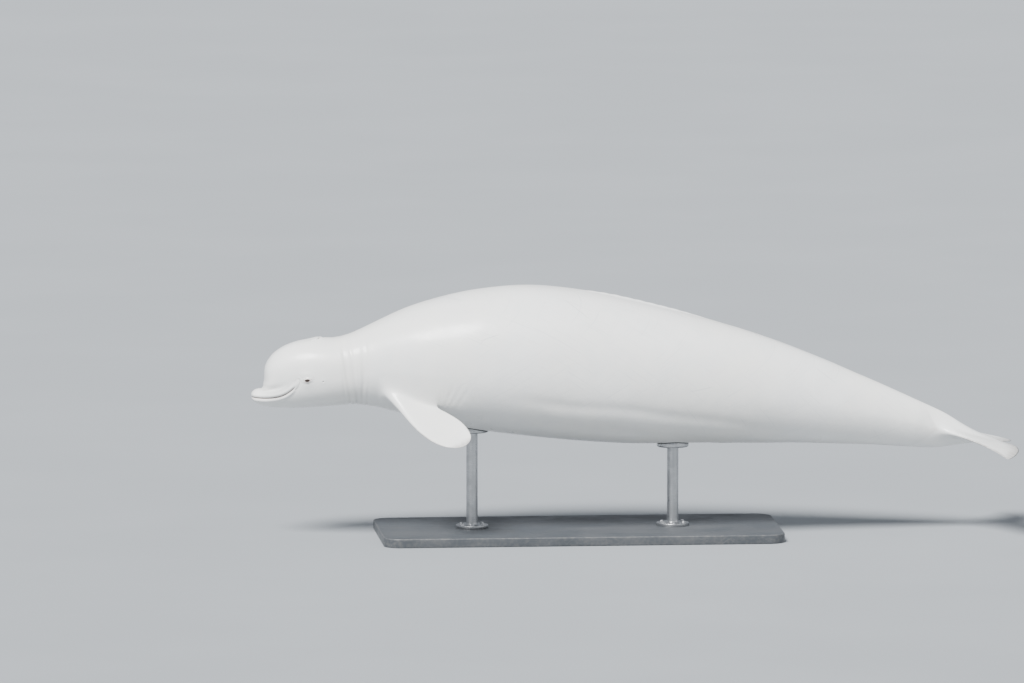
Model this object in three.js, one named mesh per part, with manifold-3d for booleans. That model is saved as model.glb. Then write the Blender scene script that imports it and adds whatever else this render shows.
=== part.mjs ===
// A beluga whale at life size, its back arched as it rolls at the surface.
// Two short rods hold it over a flat base.
// Millimetres, +Z up. The head points along -X, so the whale's left side faces -Y.
// The origin is on the floor, under the middle of the base.
//
// The whale is drawn straight first: a point has a station, measured from the tip of the beak
// towards the tail, a side distance and a height. Bending it along its spine then gives the pose.

import * as THREE from "three";
import { mergeVertices } from "three/addons/utils/BufferGeometryUtils.js";
import Module from "manifold-3d";

const wasm = await Module();
wasm.setup();

// Driving sizes
const BODY_LENGTH = 4000; // tip of the beak to the notch of the flukes
const BALANCE_STATION = 1740; // stands over the middle of the base
const SPINE_HEIGHT = 900; // of the spine over the floor at that station
const JOINT_GAP = 0.3; // between pieces that touch
const HALF_GAP = JOINT_GAP / 2;

// Sections across the body: station, top, bottom, half width and the height where it is widest.
// Heights are from the spine. The square root of the station drives the curve, which rounds the beak's tip.
const SECTIONS = [
  [0, -122, -122, 0, -122],
  [10, -99, -146, 38, -123],
  [32, -87, -166, 60, -126],
  [60, -80, -180, 77, -128],
  [84, -48, -188, 90, -120],
  [112, 10, -195, 104, -100],
  [146, 64, -201, 119, -82],
  [190, 101, -208, 136, -68],
  [250, 125, -216, 157, -58],
  [320, 133, -224, 174, -52],
  [400, 128, -231, 184, -50],
  [480, 119, -236, 186, -52],
  [560, 131, -244, 190, -50],
  [680, 180, -266, 222, -40],
  [850, 254, -314, 286, -26],
  [1080, 327, -362, 346, -15],
  [1380, 385, -390, 378, -8],
  [1700, 392, -396, 382, -5],
  [2050, 363, -374, 356, 0],
  [2420, 328, -318, 302, 5],
  [2800, 278, -246, 230, 14],
  [3150, 216, -176, 158, 22],
  [3420, 168, -122, 104, 28],
  [3640, 126, -80, 66, 30],
  [3840, 86, -34, 50, 30],
  [4000, 52, 6, 40, 29],
];
const ROUNDNESS = [
  // station and exponent of the section's curve: 2 is an ellipse, less makes a keel above and below
  [0, 2.2],
  [300, 2.3],
  [700, 2.15],
  [1600, 2.1],
  [2700, 2.0],
  [3300, 1.8],
  [3640, 1.7],
  [4000, 1.7],
];

// Slope of the spine in degrees at each station, rising towards the tail
const NECK_START = 470; // the head in front of it is rigid
const PITCH = [
  [NECK_START, 8],
  [640, 3.2],
  [850, -0.2],
  [1200, -3.2],
  [1700, -6.6],
  [2300, -10],
  [2900, -12.8],
  [3400, -14.3],
  [3700, -13.6],
  [4100, -9],
];
const SPINE_STEP = 5;
const SPINE_END = 4200;

// Mouth and the crease between the melon and the upper lip, both as station and height
const MOUTH = [
  [0, -122],
  [60, -132],
  [125, -133],
  [175, -121],
  [222, -92],
  [260, -60],
];
const MOUTH_CORNER = 222;
const LIPS = { lineDepth: 5, lineWidth: 3.4, swell: 4.5, offset: 13, width: 10 };
const CREASE = { rise: 50, depth: 7, width: 13 }; // its rise is above the mouth
const MELON = { overhang: 26, foot: 60, swellFrom: 30, fullBy: 90, fadedBy: 330 };
const EYE = { station: 294, height: -60, radius: 24, sunk: 20.5, mound: 5, moundWidth: 40 };
const EYE_FACES = [18, 12]; // round and down the ball
const LID = { reach: 13.5, open: 10, thick: 2.4 };
const LID_FACES = [28, 18];
const BLOWHOLE = { station: 398, shift: -6, reach: 32, sag: 16, slit: 4.5, mound: 5, moundWidth: 46 };
const EAR = { station: 374, height: -78, radius: 3, depth: 10 };
const EAR_FACES = [8, 6];
const NECK_FOLDS = { stations: [502, 540, 580], depth: 5, width: 9 };

// Lines that part the head, as station and height, run on past its skin
const MELON_PARTING = [
  [-60, -74],
  [72, -74],
  [345, 143],
  [450, 226],
];
const JAW_PARTING_START = [-60, -114];
const JAW_PARTING_END = [MOUTH_CORNER + 90, -290];
const HEAD_WIDTH = 300; // more than the head's own half width

// Flukes
const FLUKE = {
  start: 3640,
  blendFrom: 3520,
  blendTo: 3800,
  plane: 29, // height of their plane
  halfSpan: 490,
  thick: 21, // half thickness in the middle
  edge: 1.6, // half thickness at the trailing edge
  coreWidth: 46,
  lobe: 92, // reach of the trailing edge behind the notch
  notchWidth: 62,
  droop: 34, // of the tips
};
const FLUKE_OUTLINE = [
  // station and half span of the leading edge
  [3640, 66],
  [3700, 92],
  [3760, 152],
  [3820, 244],
  [3880, 346],
  [3930, 424],
  [3965, 468],
  [3988, 489],
  [4000, 488],
];

// Ridge along the back, in place of a fin, low enough to leave the back's outline smooth
const RIDGE = {
  from: 1700,
  to: 2380,
  height: 7,
  foot: 1.5, // height at its ends
  sunk: 4, // depth of its foot before the back is cut from it
  halfWidth: 26,
  notches: 11,
  notchDepth: 0.3,
  rings: 44,
};

// Flipper, along its own axis from the root to the tip
const FLIPPER = {
  station: 792,
  rootAngle: -36, // round the body, below the widest line
  length: 480,
  sunkRoot: 130,
  droop: 44,
  sweep: 38,
  twist: 8,
  thick: 31, // half thickness at the root
  tipThick: 3.5,
  curl: 46, // rise of the tip
  cup: 10, // rise of the edges at the tip
};
const FLIPPER_OUTLINE = [
  // share of the length, leading edge, trailing edge. The square root of the rest rounds the tip.
  [1, -30, -30],
  [0.985, 12, -70],
  [0.94, 48, -100],
  [0.82, 83, -131],
  [0.64, 101, -142],
  [0.42, 98, -118],
  [0.2, 82, -84],
  [0, 70, -66],
  [-0.3, 66, -62],
];

// Stand
const BASE = { length: 2100, width: 860, thick: 48, corner: 90, bevel: 6 };
const ROD = { stations: { front: 1200, rear: 2300 }, radius: 30 };
const FLANGE = { radius: 85, thick: 16 };
const SADDLE = { radius: 84, below: 20, above: 14 };

const degrees = THREE.MathUtils.degToRad;
const lerp = THREE.MathUtils.lerp;
const smoothstep = THREE.MathUtils.smoothstep;
const bell = (x, width) => Math.exp(-((x / width) ** 2));
const signedPower = (x, power) => Math.sign(x) * Math.abs(x) ** power;

// A natural cubic spline through xs and ys, straight on past its ends.
function spline(xs, ys) {
  const n = xs.length;
  const second = new Array(n).fill(0);
  const upper = new Array(n).fill(0);
  for (let i = 1; i < n - 1; i++) {
    const before = xs[i] - xs[i - 1];
    const after = xs[i + 1] - xs[i];
    const pivot = 2 * (before + after) - before * upper[i - 1];
    const bendHere = 6 * ((ys[i + 1] - ys[i]) / after - (ys[i] - ys[i - 1]) / before);
    upper[i] = after / pivot;
    second[i] = (bendHere - before * second[i - 1]) / pivot;
  }
  for (let i = n - 2; i > 0; i--) second[i] -= upper[i] * second[i + 1];
  return (x) => {
    let i = 0;
    while (i < n - 2 && x > xs[i + 1]) i++;
    const width = xs[i + 1] - xs[i];
    const b = (x - xs[i]) / width;
    const a = 1 - b;
    const straight = a * ys[i] + b * ys[i + 1];
    if (a > 1 || b > 1) return straight;
    const curved = (a ** 3 - a) * second[i] + (b ** 3 - b) * second[i + 1];
    return straight + (curved * width * width) / 6;
  };
}

const column = (rows, i) => rows.map((row) => row[i]);
const byStation = (rows, i) => spline(column(rows, 0), column(rows, i));
const roots = column(SECTIONS, 0).map(Math.sqrt);
const ofSection = (i) => {
  const curve = spline(roots, column(SECTIONS, i));
  return (station) => curve(Math.sqrt(Math.max(station, 0)));
};
const topAt = ofSection(1);
const bottomAt = ofSection(2);
const halfWidthAt = ofSection(3);
const widestAt = ofSection(4);
const roundnessAt = byStation(ROUNDNESS, 1);
const mouthHeight = byStation(MOUTH, 1);
const halfSpanAt = byStation(FLUKE_OUTLINE, 1);
const pitchCurve = byStation(PITCH, 1);
const rests = column(FLIPPER_OUTLINE, 0).map((share) => Math.sqrt(1 - share));
const [leadOf, trailOf] = [1, 2].map((i) => spline(rests, column(FLIPPER_OUTLINE, i)));

// The spine's place and slope every few millimetres, from the tip of the beak to past the flukes
const spinePoints = (() => {
  const points = [];
  let x = 0;
  let z = 0;
  for (let station = 0; station <= SPINE_END; station += SPINE_STEP) {
    const pitch = degrees(pitchCurve(Math.max(station, NECK_START)));
    points.push({ x, z, pitch });
    x += SPINE_STEP * Math.cos(pitch);
    z += SPINE_STEP * Math.sin(pitch);
  }
  const balance = points[BALANCE_STATION / SPINE_STEP];
  const shift = { x: balance.x, z: balance.z };
  for (const point of points) {
    point.x -= shift.x;
    point.z += SPINE_HEIGHT - shift.z;
  }
  return points;
})();

// Carries a point of the straight whale to its place in the pose.
function bend(point) {
  const along = THREE.MathUtils.clamp(point.x / SPINE_STEP, 0, spinePoints.length - 2);
  const index = Math.floor(along);
  const from = spinePoints[index];
  const to = spinePoints[index + 1];
  const share = along - index;
  const pitch = lerp(from.pitch, to.pitch, share);
  const ahead = Math.min(point.x, 0);
  return new THREE.Vector3(
    lerp(from.x, to.x, share) + ahead * Math.cos(pitch) - point.z * Math.sin(pitch),
    point.y,
    lerp(from.z, to.z, share) + ahead * Math.sin(pitch) + point.z * Math.cos(pitch),
  );
}

// How far the trailing edge of the flukes lies behind the notch, at a distance from the middle
function trailingReach(side) {
  const span = Math.abs(side) / FLUKE.halfSpan;
  const lobe = 1 - Math.exp(-Math.abs(side) / FLUKE.notchWidth);
  return FLUKE.lobe * lobe * Math.max(0, 1 - span ** 2.6);
}

// A point of the flukes. The turn runs from the side edge, at 0 and 180 degrees, over the top, at 90.
function flukePoint(station, turn) {
  const share = THREE.MathUtils.clamp((station - FLUKE.start) / (BODY_LENGTH - FLUKE.start), 0, 1);
  const crowd = lerp(1, 1.6, smoothstep(station, FLUKE.blendFrom, FLUKE.blendTo));
  const across = signedPower(Math.cos(turn), crowd);
  const side = halfSpanAt(station) * across;
  const wing = lerp(FLUKE.thick, FLUKE.edge, share ** 1.5) * Math.sqrt(1 - across ** 2);
  const up = Math.sin(turn) > 0;
  const root = up ? topAt(station) - FLUKE.plane : FLUKE.plane - bottomAt(station);
  const core = (root * (1 - share ** 1.6) - wing) * bell(side, FLUKE.coreWidth);
  const height = wing + Math.max(core, 0) * Math.abs(Math.sin(turn));
  return new THREE.Vector3(
    station + trailingReach(side) * smoothstep(share, 0, 1),
    side,
    FLUKE.plane + (up ? height : -height) - FLUKE.droop * (side / FLUKE.halfSpan) ** 2,
  );
}

// A point of the smooth straight whale, before lips, lids and folds
function smoothPoint(station, turn) {
  const power = 2 / roundnessAt(station);
  const middle = widestAt(station);
  const rise = Math.sin(turn) > 0 ? topAt(station) - middle : middle - bottomAt(station);
  const side = halfWidthAt(station) * signedPower(Math.cos(turn), power);
  const height = middle + rise * signedPower(Math.sin(turn), power);
  const point = new THREE.Vector3(station, side, height);
  const domed = smoothstep(height, mouthHeight(MELON.foot) + CREASE.rise, 40);
  const swollen = smoothstep(station, MELON.swellFrom, MELON.fullBy);
  point.x -= MELON.overhang * domed * swollen * (1 - smoothstep(station, MELON.fullBy, MELON.fadedBy));
  if (station <= FLUKE.blendFrom) return point;
  return point.lerp(flukePoint(station, turn), smoothstep(station, FLUKE.blendFrom, FLUKE.blendTo));
}

function outward(station, turn) {
  const step = 1;
  const swing = 0.012;
  const near = Math.max(station, 3);
  const alongBody = smoothPoint(near + step, turn).sub(smoothPoint(near - step, turn));
  const round = smoothPoint(near, turn + swing).sub(smoothPoint(near, turn - swing));
  return round.cross(alongBody).normalize();
}

// How far lips, crease, eye mound and neck folds stand out from the smooth whale
function relief(station, turn, point) {
  const fromMouth = point.z - mouthHeight(station);
  const mouth = 1 - smoothstep(station, MOUTH_CORNER - 14, MOUTH_CORNER + 8);
  const lips = LIPS.swell * bell(Math.abs(fromMouth) - LIPS.offset, LIPS.width) * smoothstep(station, 0, 14);
  const line = LIPS.lineDepth * bell(fromMouth, LIPS.lineWidth);
  const creaseHere = smoothstep(station, 44, 62) * (1 - smoothstep(station, 80, 190));
  const crease = CREASE.depth * bell(fromMouth - CREASE.rise, CREASE.width) * creaseHere;
  const toEye = Math.hypot(point.x - EYE.station, point.z - EYE.height);
  const eyeMound = EYE.mound * bell(toEye, EYE.moundWidth);
  const toBlowhole = Math.hypot(point.x - BLOWHOLE.station - 8, point.y - BLOWHOLE.shift);
  const blowholeMound = point.z > 0 ? BLOWHOLE.mound * bell(toBlowhole, BLOWHOLE.moundWidth) : 0;
  const lowerSide = 1 - 0.7 * smoothstep(Math.sin(turn), 0.2, 1);
  const folds = NECK_FOLDS.stations.reduce((sum, at) => sum + bell(station - at, NECK_FOLDS.width), 0);
  const neck = NECK_FOLDS.depth * lowerSide * folds;
  return mouth * (lips - line) - crease + eyeMound + blowholeMound - neck;
}

function skinPoint(station, turn, offset = 0) {
  const point = smoothPoint(station, turn);
  const height = relief(station, turn, point) + offset;
  if (station > 0) return point.addScaledVector(outward(station, turn), height);
  point.x -= relief(station, turn, point) + offset;
  return point;
}

// The turn of the mouth's line in a section, below the widest line
function mouthTurn(station) {
  const drop = widestAt(station) - mouthHeight(station);
  const depth = widestAt(station) - bottomAt(station);
  const share = THREE.MathUtils.clamp(drop / Math.max(depth, 1), 0, 0.9);
  return -Math.asin(share ** (roundnessAt(station) / 2));
}

// Turns of a section's points, from the bottom up one side and down the other.
// Round the head they crowd at the mouth.
function turnsAt(station, count) {
  const crowded = 1 - smoothstep(station, 240, NECK_START);
  const centre = mouthTurn(Math.min(station, MOUTH_CORNER)) * crowded;
  return Array.from({ length: count }, (_, k) => {
    const round = (4 * k) / count;
    const climbing = round <= 2;
    const share = climbing ? round - 1 : 3 - round;
    const eased = lerp(share, 0.3 * share + 0.7 * share ** 3, crowded);
    const limit = share > 0 ? Math.PI / 2 - centre : Math.PI / 2 + centre;
    const turn = centre + limit * eased;
    return climbing ? turn : Math.PI - turn;
  });
}

function ring(station, count, offset) {
  return turnsAt(station, count).map((turn) => skinPoint(station, turn, offset));
}

// A closed body from rings of points, each with as many points. A flat end gets a fan of faces
// round its middle, and a thin end gets a strip that joins its upper points to its lower ones.
function loft(rings, thinEnd = false) {
  const count = rings[0].length;
  const points = rings.flat();
  const faces = [];
  for (let r = 0; r + 1 < rings.length; r++) {
    for (let k = 0; k < count; k++) {
      const a = r * count + k;
      const b = r * count + ((k + 1) % count);
      faces.push(a, b, a + count, b, b + count, a + count);
    }
  }
  const fan = (ringPoints, first, inward) => {
    const middle = ringPoints.reduce((sum, p) => sum.add(p), new THREE.Vector3());
    points.push(middle.divideScalar(count));
    for (let k = 0; k < count; k++) {
      const pair = [first + k, first + ((k + 1) % count)];
      faces.push(points.length - 1, ...(inward ? pair.reverse() : pair));
    }
  };
  fan(rings[0], 0, true);
  const last = (rings.length - 1) * count;
  if (thinEnd) {
    const side = count / 4;
    const onRim = (k) => last + ((side + k + count) % count);
    for (let k = 0; k < count / 2; k++) {
      if (k > 0) faces.push(onRim(k), onRim(k + 1), onRim(-k));
      if (k < count / 2 - 1) faces.push(onRim(k + 1), onRim(-k - 1), onRim(-k));
    }
  } else fan(rings.at(-1), last, false);
  const geometry = new THREE.BufferGeometry().setFromPoints(points);
  geometry.setIndex(faces);
  return geometry;
}

// A geometry as a solid that can be joined and cut, and back
function solid(geometry) {
  const bare = geometry.clone().deleteAttribute("normal").deleteAttribute("uv");
  const merged = mergeVertices(bare, 1e-4);
  return new wasm.Manifold(
    new wasm.Mesh({
      numProp: 3,
      vertProperties: merged.attributes.position.array,
      triVerts: new Uint32Array(merged.index.array),
    }),
  );
}

function geometryOf(manifold) {
  const { vertProperties, triVerts } = manifold.getMesh();
  const geometry = new THREE.BufferGeometry();
  geometry.setAttribute("position", new THREE.BufferAttribute(new Float32Array(vertProperties), 3));
  geometry.setIndex(new THREE.BufferAttribute(new Uint32Array(triVerts), 1));
  geometry.computeVertexNormals();
  return geometry;
}

const largest = (manifold) => manifold.decompose().reduce((a, b) => (a.volume() > b.volume() ? a : b));

const white = { color: 0xe6e8e6, roughness: 0.34, metalness: 0 };
const finishes = {
  skin: new THREE.MeshStandardMaterial(white),
  eye: new THREE.MeshStandardMaterial({ color: 0x1a1512, roughness: 0.08, metalness: 0 }),
  base: new THREE.MeshStandardMaterial({ color: 0x3d4247, roughness: 0.6, metalness: 0 }),
  steel: new THREE.MeshStandardMaterial({ color: 0xb4b8ba, roughness: 0.3, metalness: 1 }),
};

const whale = new THREE.Group();
function add(name, geometry, finish, parent = whale) {
  const mesh = new THREE.Mesh(geometry, finishes[finish]);
  mesh.name = name;
  parent.add(mesh);
  return mesh;
}

// Stations from one place to another, drawn closer together near the first when the ease is above 1
function stations(from, to, count, ease = 1) {
  return Array.from({ length: count + 1 }, (_, i) => lerp(from, to, (i / count) ** ease));
}

// Trunk, in lengths that part at thin cuts across the spine
const TRUNK = [
  { name: "neck", from: NECK_START, to: 620, rings: 12 },
  { name: "chest", from: 620, to: 1300, rings: 10 },
  { name: "midbody", from: 1300, to: 2000, rings: 8 },
  { name: "loin", from: 2000, to: 2800, rings: 9 },
  { name: "tail_stock", from: 2800, to: FLUKE.start, rings: 11 },
];
const TRUNK_POINTS = 44;

function trunkLength({ from, to, rings }, offset = 0, beyond = 0) {
  const inside = stations(from + HALF_GAP, to - HALF_GAP, rings);
  const every = beyond ? [from - beyond, ...inside, to + beyond] : inside;
  return loft(every.map((station) => ring(station, TRUNK_POINTS, offset).map(bend)));
}

for (const length of TRUNK) add(length.name, trunkLength(length), "skin");

// Head, cut into melon, lower jaw and the rest, in the straight whale's place
const HEAD_POINTS = 52;

function wholeHead() {
  const beak = stations(0, 40, 6, 1.6).slice(1);
  const crease = stations(40, 150, 12).slice(1);
  const behind = stations(150, NECK_START - HALF_GAP, 10).slice(1);
  const rings = [...beak, ...crease, ...behind].map((station) => ring(station, HEAD_POINTS));
  const tip = skinPoint(0, 0);
  return solid(loft([Array.from({ length: HEAD_POINTS }, () => tip.clone()), ...rings]));
}

// A thin wall along a line of stations and heights, wider than the head and mitred at the line's corners
function thinCut(line) {
  const points = line.map(([x, z]) => new THREE.Vector3(x, 0, z));
  const runs = points.slice(1).map((point, i) => point.clone().sub(points[i]).normalize());
  const rings = points.map((point, i) => {
    const [arriving, leaving] = [runs[i - 1] ?? runs[0], runs[i] ?? runs.at(-1)];
    const along = arriving.clone().add(leaving).normalize();
    const half = new THREE.Vector3(-along.z, 0, along.x).multiplyScalar(HALF_GAP / along.dot(leaving));
    const corners = [[-1, 1], [1, 1], [1, -1], [-1, -1]];
    return corners.map(([up, side]) => point.clone().addScaledVector(half, up).setY(side * HEAD_WIDTH));
  });
  return solid(loft(rings));
}

// A closed tube along a path, its radius given at each point, its height squashed along the up direction
function taperedTube(path, radii, up, sides, squash = 1) {
  const rings = path.map((point, i) => {
    const along = path[Math.min(i + 1, path.length - 1)].clone().sub(path[Math.max(i - 1, 0)]).normalize();
    const lift = up.clone().addScaledVector(along, -up.dot(along)).normalize();
    const across = lift.clone().cross(along);
    return Array.from({ length: sides }, (_, k) => {
      const turn = (2 * Math.PI * k) / sides;
      const place = point.clone().addScaledVector(across, radii[i] * Math.cos(turn));
      return place.addScaledVector(lift, radii[i] * squash * Math.sin(turn));
    });
  });
  return loft(rings);
}

function mouthCut() {
  const line = stations(0, MOUTH_CORNER, 16).map((x) => [x, mouthHeight(x)]);
  return thinCut([JAW_PARTING_START, ...line, JAW_PARTING_END]);
}

function eyePlace(side) {
  const turn = turnOfHeight(EYE.station, EYE.height);
  const surface = skinPoint(EYE.station, side > 0 ? turn : Math.PI - turn);
  const normal = outward(EYE.station, side > 0 ? turn : Math.PI - turn);
  return { surface, normal, centre: surface.clone().addScaledVector(normal, -EYE.sunk) };
}

function turnOfHeight(station, height) {
  const rise = height - widestAt(station);
  const reach = rise > 0 ? topAt(station) - widestAt(station) : widestAt(station) - bottomAt(station);
  return Math.asin(signedPower(rise / reach, roundnessAt(station) / 2));
}

// Turns a geometry that faces +Z to face outwards at a place of the head, its X along the body.
function faceOut(geometry, place, normal) {
  const along = new THREE.Vector3(1, 0, 0).addScaledVector(normal, -normal.x).normalize();
  const across = normal.clone().cross(along);
  const matrix = new THREE.Matrix4().makeBasis(along, across, normal).setPosition(place);
  return geometry.applyMatrix4(matrix);
}

// The lids are a thin cap over the eyeball, open between the corners of the eye.
function lidCap(side) {
  const { centre } = eyePlace(side);
  const cap = new THREE.SphereGeometry(EYE.radius + LID.thick, ...LID_FACES);
  return solid(cap.translate(centre.x, centre.y, centre.z));
}

function lidOpening(side) {
  const { surface, normal } = eyePlace(side);
  const almond = new THREE.Shape();
  almond.moveTo(-LID.reach, 1);
  almond.bezierCurveTo(-LID.reach * 0.6, LID.open, LID.reach * 0.55, LID.open, LID.reach, -1);
  almond.bezierCurveTo(LID.reach * 0.5, -LID.open, -LID.reach * 0.65, -LID.open, -LID.reach, 1);
  const prism = new THREE.ExtrudeGeometry(almond, { depth: 30, curveSegments: 7, bevelEnabled: false });
  return solid(faceOut(prism, surface, normal));
}

function eyeBall(side, growth) {
  const ball = new THREE.SphereGeometry(EYE.radius + growth, ...EYE_FACES);
  const { centre } = eyePlace(side);
  return ball.translate(centre.x, centre.y, centre.z);
}

// The blowhole is a crescent whose ends point forwards.
function blowholeSlit() {
  const steps = 10;
  const path = Array.from({ length: steps + 1 }, (_, i) => {
    const share = (2 * i) / steps - 1;
    const station = BLOWHOLE.station - BLOWHOLE.sag * share ** 2;
    const point = smoothPoint(station, Math.PI / 2);
    point.y = BLOWHOLE.shift + BLOWHOLE.reach * share;
    point.z = skinHeight(station, point.y);
    return point;
  });
  const radii = path.map((_, i) => BLOWHOLE.slit * (0.5 + 0.5 * Math.sin((Math.PI * i) / steps)));
  return solid(taperedTube(path, radii, new THREE.Vector3(0, 0, 1), 6, 1.5));
}

// Height of the skin on the whale's upper side, at a distance to the side
function skinHeight(station, side) {
  const share = THREE.MathUtils.clamp(side / halfWidthAt(station), -1, 1);
  return skinPoint(station, Math.acos(signedPower(share, roundnessAt(station) / 2))).z;
}

function earPit(side) {
  const turn = turnOfHeight(EAR.station, EAR.height);
  const at = side > 0 ? turn : Math.PI - turn;
  const normal = outward(EAR.station, at);
  const pit = new THREE.SphereGeometry(EAR.radius, ...EAR_FACES).scale(1, 1, EAR.depth / EAR.radius / 2);
  return solid(faceOut(pit, skinPoint(EAR.station, at), normal));
}

const head = new THREE.Group();
const headFrame = spinePoints[0];
head.position.set(headFrame.x, 0, headFrame.z);
head.rotation.y = -headFrame.pitch;
whale.add(head);

function addHead() {
  const sides = { left: -1, right: 1 };
  let flesh = wholeHead();
  for (const side of Object.values(sides)) {
    flesh = flesh.add(lidCap(side)).subtract(lidOpening(side)).subtract(earPit(side));
    flesh = flesh.subtract(solid(eyeBall(side, JOINT_GAP)));
  }
  flesh = flesh.subtract(blowholeSlit());
  const pieces = flesh.subtract(mouthCut()).subtract(thinCut(MELON_PARTING)).decompose();
  pieces.sort((a, b) => b.volume() - a.volume());
  const [skull, second, third] = pieces;
  const jawFirst = second.boundingBox().max[2] < 0;
  add("head", geometryOf(skull), "skin", head);
  add("melon", geometryOf(jawFirst ? third : second), "skin", head);
  add("lower_jaw", geometryOf(jawFirst ? second : third), "skin", head);
  for (const [name, side] of Object.entries(sides)) add(`eye_${name}`, eyeBall(side, 0), "eye", head);
}
addHead();

// Flukes, from the end of the tail stock, parted along the middle
function addFlukes() {
  const every = stations(FLUKE.start + HALF_GAP, BODY_LENGTH, 16, 0.85);
  const both = solid(loft(every.map((station) => ring(station, 48).map(bend)), true));
  const slit = new THREE.BoxGeometry(2 * BODY_LENGTH, JOINT_GAP, BODY_LENGTH);
  const halves = both.subtract(solid(slit)).decompose();
  halves.sort((a, b) => b.volume() - a.volume());
  for (const half of halves.slice(0, 2)) {
    const side = half.boundingBox().max[1] > 1 ? "right" : "left";
    add(`fluke_${side}`, geometryOf(half), "skin");
  }
}
addFlukes();

// Flippers, each a paddle lofted along its own axis and cut where it meets the chest
function flipperRing(share, side, count) {
  const rest = Math.sqrt(1 - share);
  const [lead, trail] = [leadOf(rest), trailOf(rest)];
  const droop = degrees(FLIPPER.droop);
  const outwards = new THREE.Vector3(0, side * Math.cos(droop), -Math.sin(droop));
  const flat = new THREE.Vector3(0, side * Math.sin(droop), Math.cos(droop));
  const back = new THREE.Vector3(1, 0, 0);
  const sweep = degrees(FLIPPER.sweep);
  const axis = outwards.clone().multiplyScalar(Math.cos(sweep)).addScaledVector(back, Math.sin(sweep));
  const chord = outwards.clone().multiplyScalar(Math.sin(sweep)).addScaledVector(back, -Math.cos(sweep));
  const twist = degrees(FLIPPER.twist);
  const blade = chord.clone().multiplyScalar(Math.cos(twist)).addScaledVector(flat, Math.sin(twist));
  const face = flat.clone().multiplyScalar(Math.cos(twist)).addScaledVector(chord, -Math.sin(twist));
  const rootTurn = degrees(FLIPPER.rootAngle);
  const root = smoothPoint(FLIPPER.station, side > 0 ? rootTurn : Math.PI - rootTurn);
  const middle = (lead + trail) / 2;
  const half = (lead - trail) / 2;
  const out = Math.max(share, 0);
  const thick = lerp(FLIPPER.thick, FLIPPER.tipThick, Math.min(1, out ** 0.75));
  const rounded = Math.sqrt(Math.max(0, 1 - Math.max(0, (share - 0.9) / 0.1) ** 2)) * 0.7 + 0.3;
  return Array.from({ length: count }, (_, k) => {
    const turn = (side * 2 * Math.PI * k) / count;
    const across = Math.cos(turn);
    const plump = thick * rounded * Math.sin(turn) * (1 + 0.3 * across);
    const curl = FLIPPER.curl * out ** 2.2 + FLIPPER.cup * out * across ** 2;
    return root
      .clone()
      .addScaledVector(axis, share * FLIPPER.length)
      .addScaledVector(blade, middle + half * across)
      .addScaledVector(face, plump + curl);
  });
}

const FLIPPER_RINGS = 15;
const FLIPPER_POINTS = 18;

// Rings from the sunk root to just short of the tip, closer together towards it
function addFlipper(name, side, chest) {
  const whole = 1 + FLIPPER.sunkRoot / FLIPPER.length;
  const steps = Array.from({ length: FLIPPER_RINGS }, (_, i) => 1 - i / FLIPPER_RINGS);
  const shares = [...steps, 0.2 / FLIPPER_RINGS].map((rest) => 1 - whole * rest ** 1.8);
  const rings = shares.map((share) => flipperRing(share, side, FLIPPER_POINTS).map(bend));
  const paddle = solid(loft(rings)).subtract(chest);
  add(`flipper_${name}`, geometryOf(largest(paddle)), "skin");
}

const chestRoom = solid(trunkLength(TRUNK[1], JOINT_GAP, 60));
addFlipper("left", -1, chestRoom);
addFlipper("right", 1, chestRoom);

// Ridge along the back
function ridgeRing(station) {
  const share = (station - RIDGE.from) / (RIDGE.to - RIDGE.from);
  const swell = Math.sin(Math.PI * share ** 0.8) ** 0.7;
  const notch = 1 - RIDGE.notchDepth * Math.abs(Math.sin(Math.PI * RIDGE.notches * share)) ** 3;
  const height = RIDGE.foot + RIDGE.height * swell * notch;
  const reach = (RIDGE.halfWidth * (0.35 + 0.65 * swell)) / halfWidthAt(station);
  const across = (k, offset) => skinPoint(station, Math.PI / 2 + k * reach, offset);
  const foot = [1, 0, -1].map((k) => across(k, -RIDGE.sunk));
  const crest = [-0.75, -0.35, 0.35, 0.75].map((k) => across(k, height * (1 - 0.75 * Math.abs(k) ** 1.5)));
  return [...foot, ...crest].map(bend);
}

function addRidge(backRoom) {
  const strip = solid(loft(stations(RIDGE.from, RIDGE.to, RIDGE.rings).map(ridgeRing)));
  const ridge = backRoom.reduce((rest, room) => rest.subtract(room), strip);
  add("dorsal_ridge", geometryOf(largest(ridge)), "skin");
}
addRidge([TRUNK[2], TRUNK[3]].map((length) => solid(trunkLength(length, JOINT_GAP, 5))));

// Stand: a flat base, and two rods with a dished pad under the belly
function addBase() {
  const outline = new THREE.Shape();
  const [x, y, r] = [BASE.length / 2, BASE.width / 2, BASE.corner].map((v) => v - BASE.bevel);
  const corners = [[x, y], [-x, y], [-x, -y], [x, -y]];
  const quarter = Math.PI / 2;
  corners.forEach(([cx, cy], i) => {
    outline.absarc(cx - Math.sign(cx) * r, cy - Math.sign(cy) * r, r, i * quarter, (i + 1) * quarter);
  });
  const slab = new THREE.ExtrudeGeometry(outline, {
    depth: BASE.thick - 2 * BASE.bevel,
    bevelThickness: BASE.bevel,
    bevelSize: BASE.bevel,
    bevelSegments: 2,
    curveSegments: 8,
  });
  add("stand_base", slab.translate(0, 0, BASE.bevel), "base");
}

function upright(radius, from, to, segments = 32) {
  return new THREE.CylinderGeometry(radius, radius, to - from, segments)
    .rotateX(Math.PI / 2)
    .translate(0, 0, (from + to) / 2);
}

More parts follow.
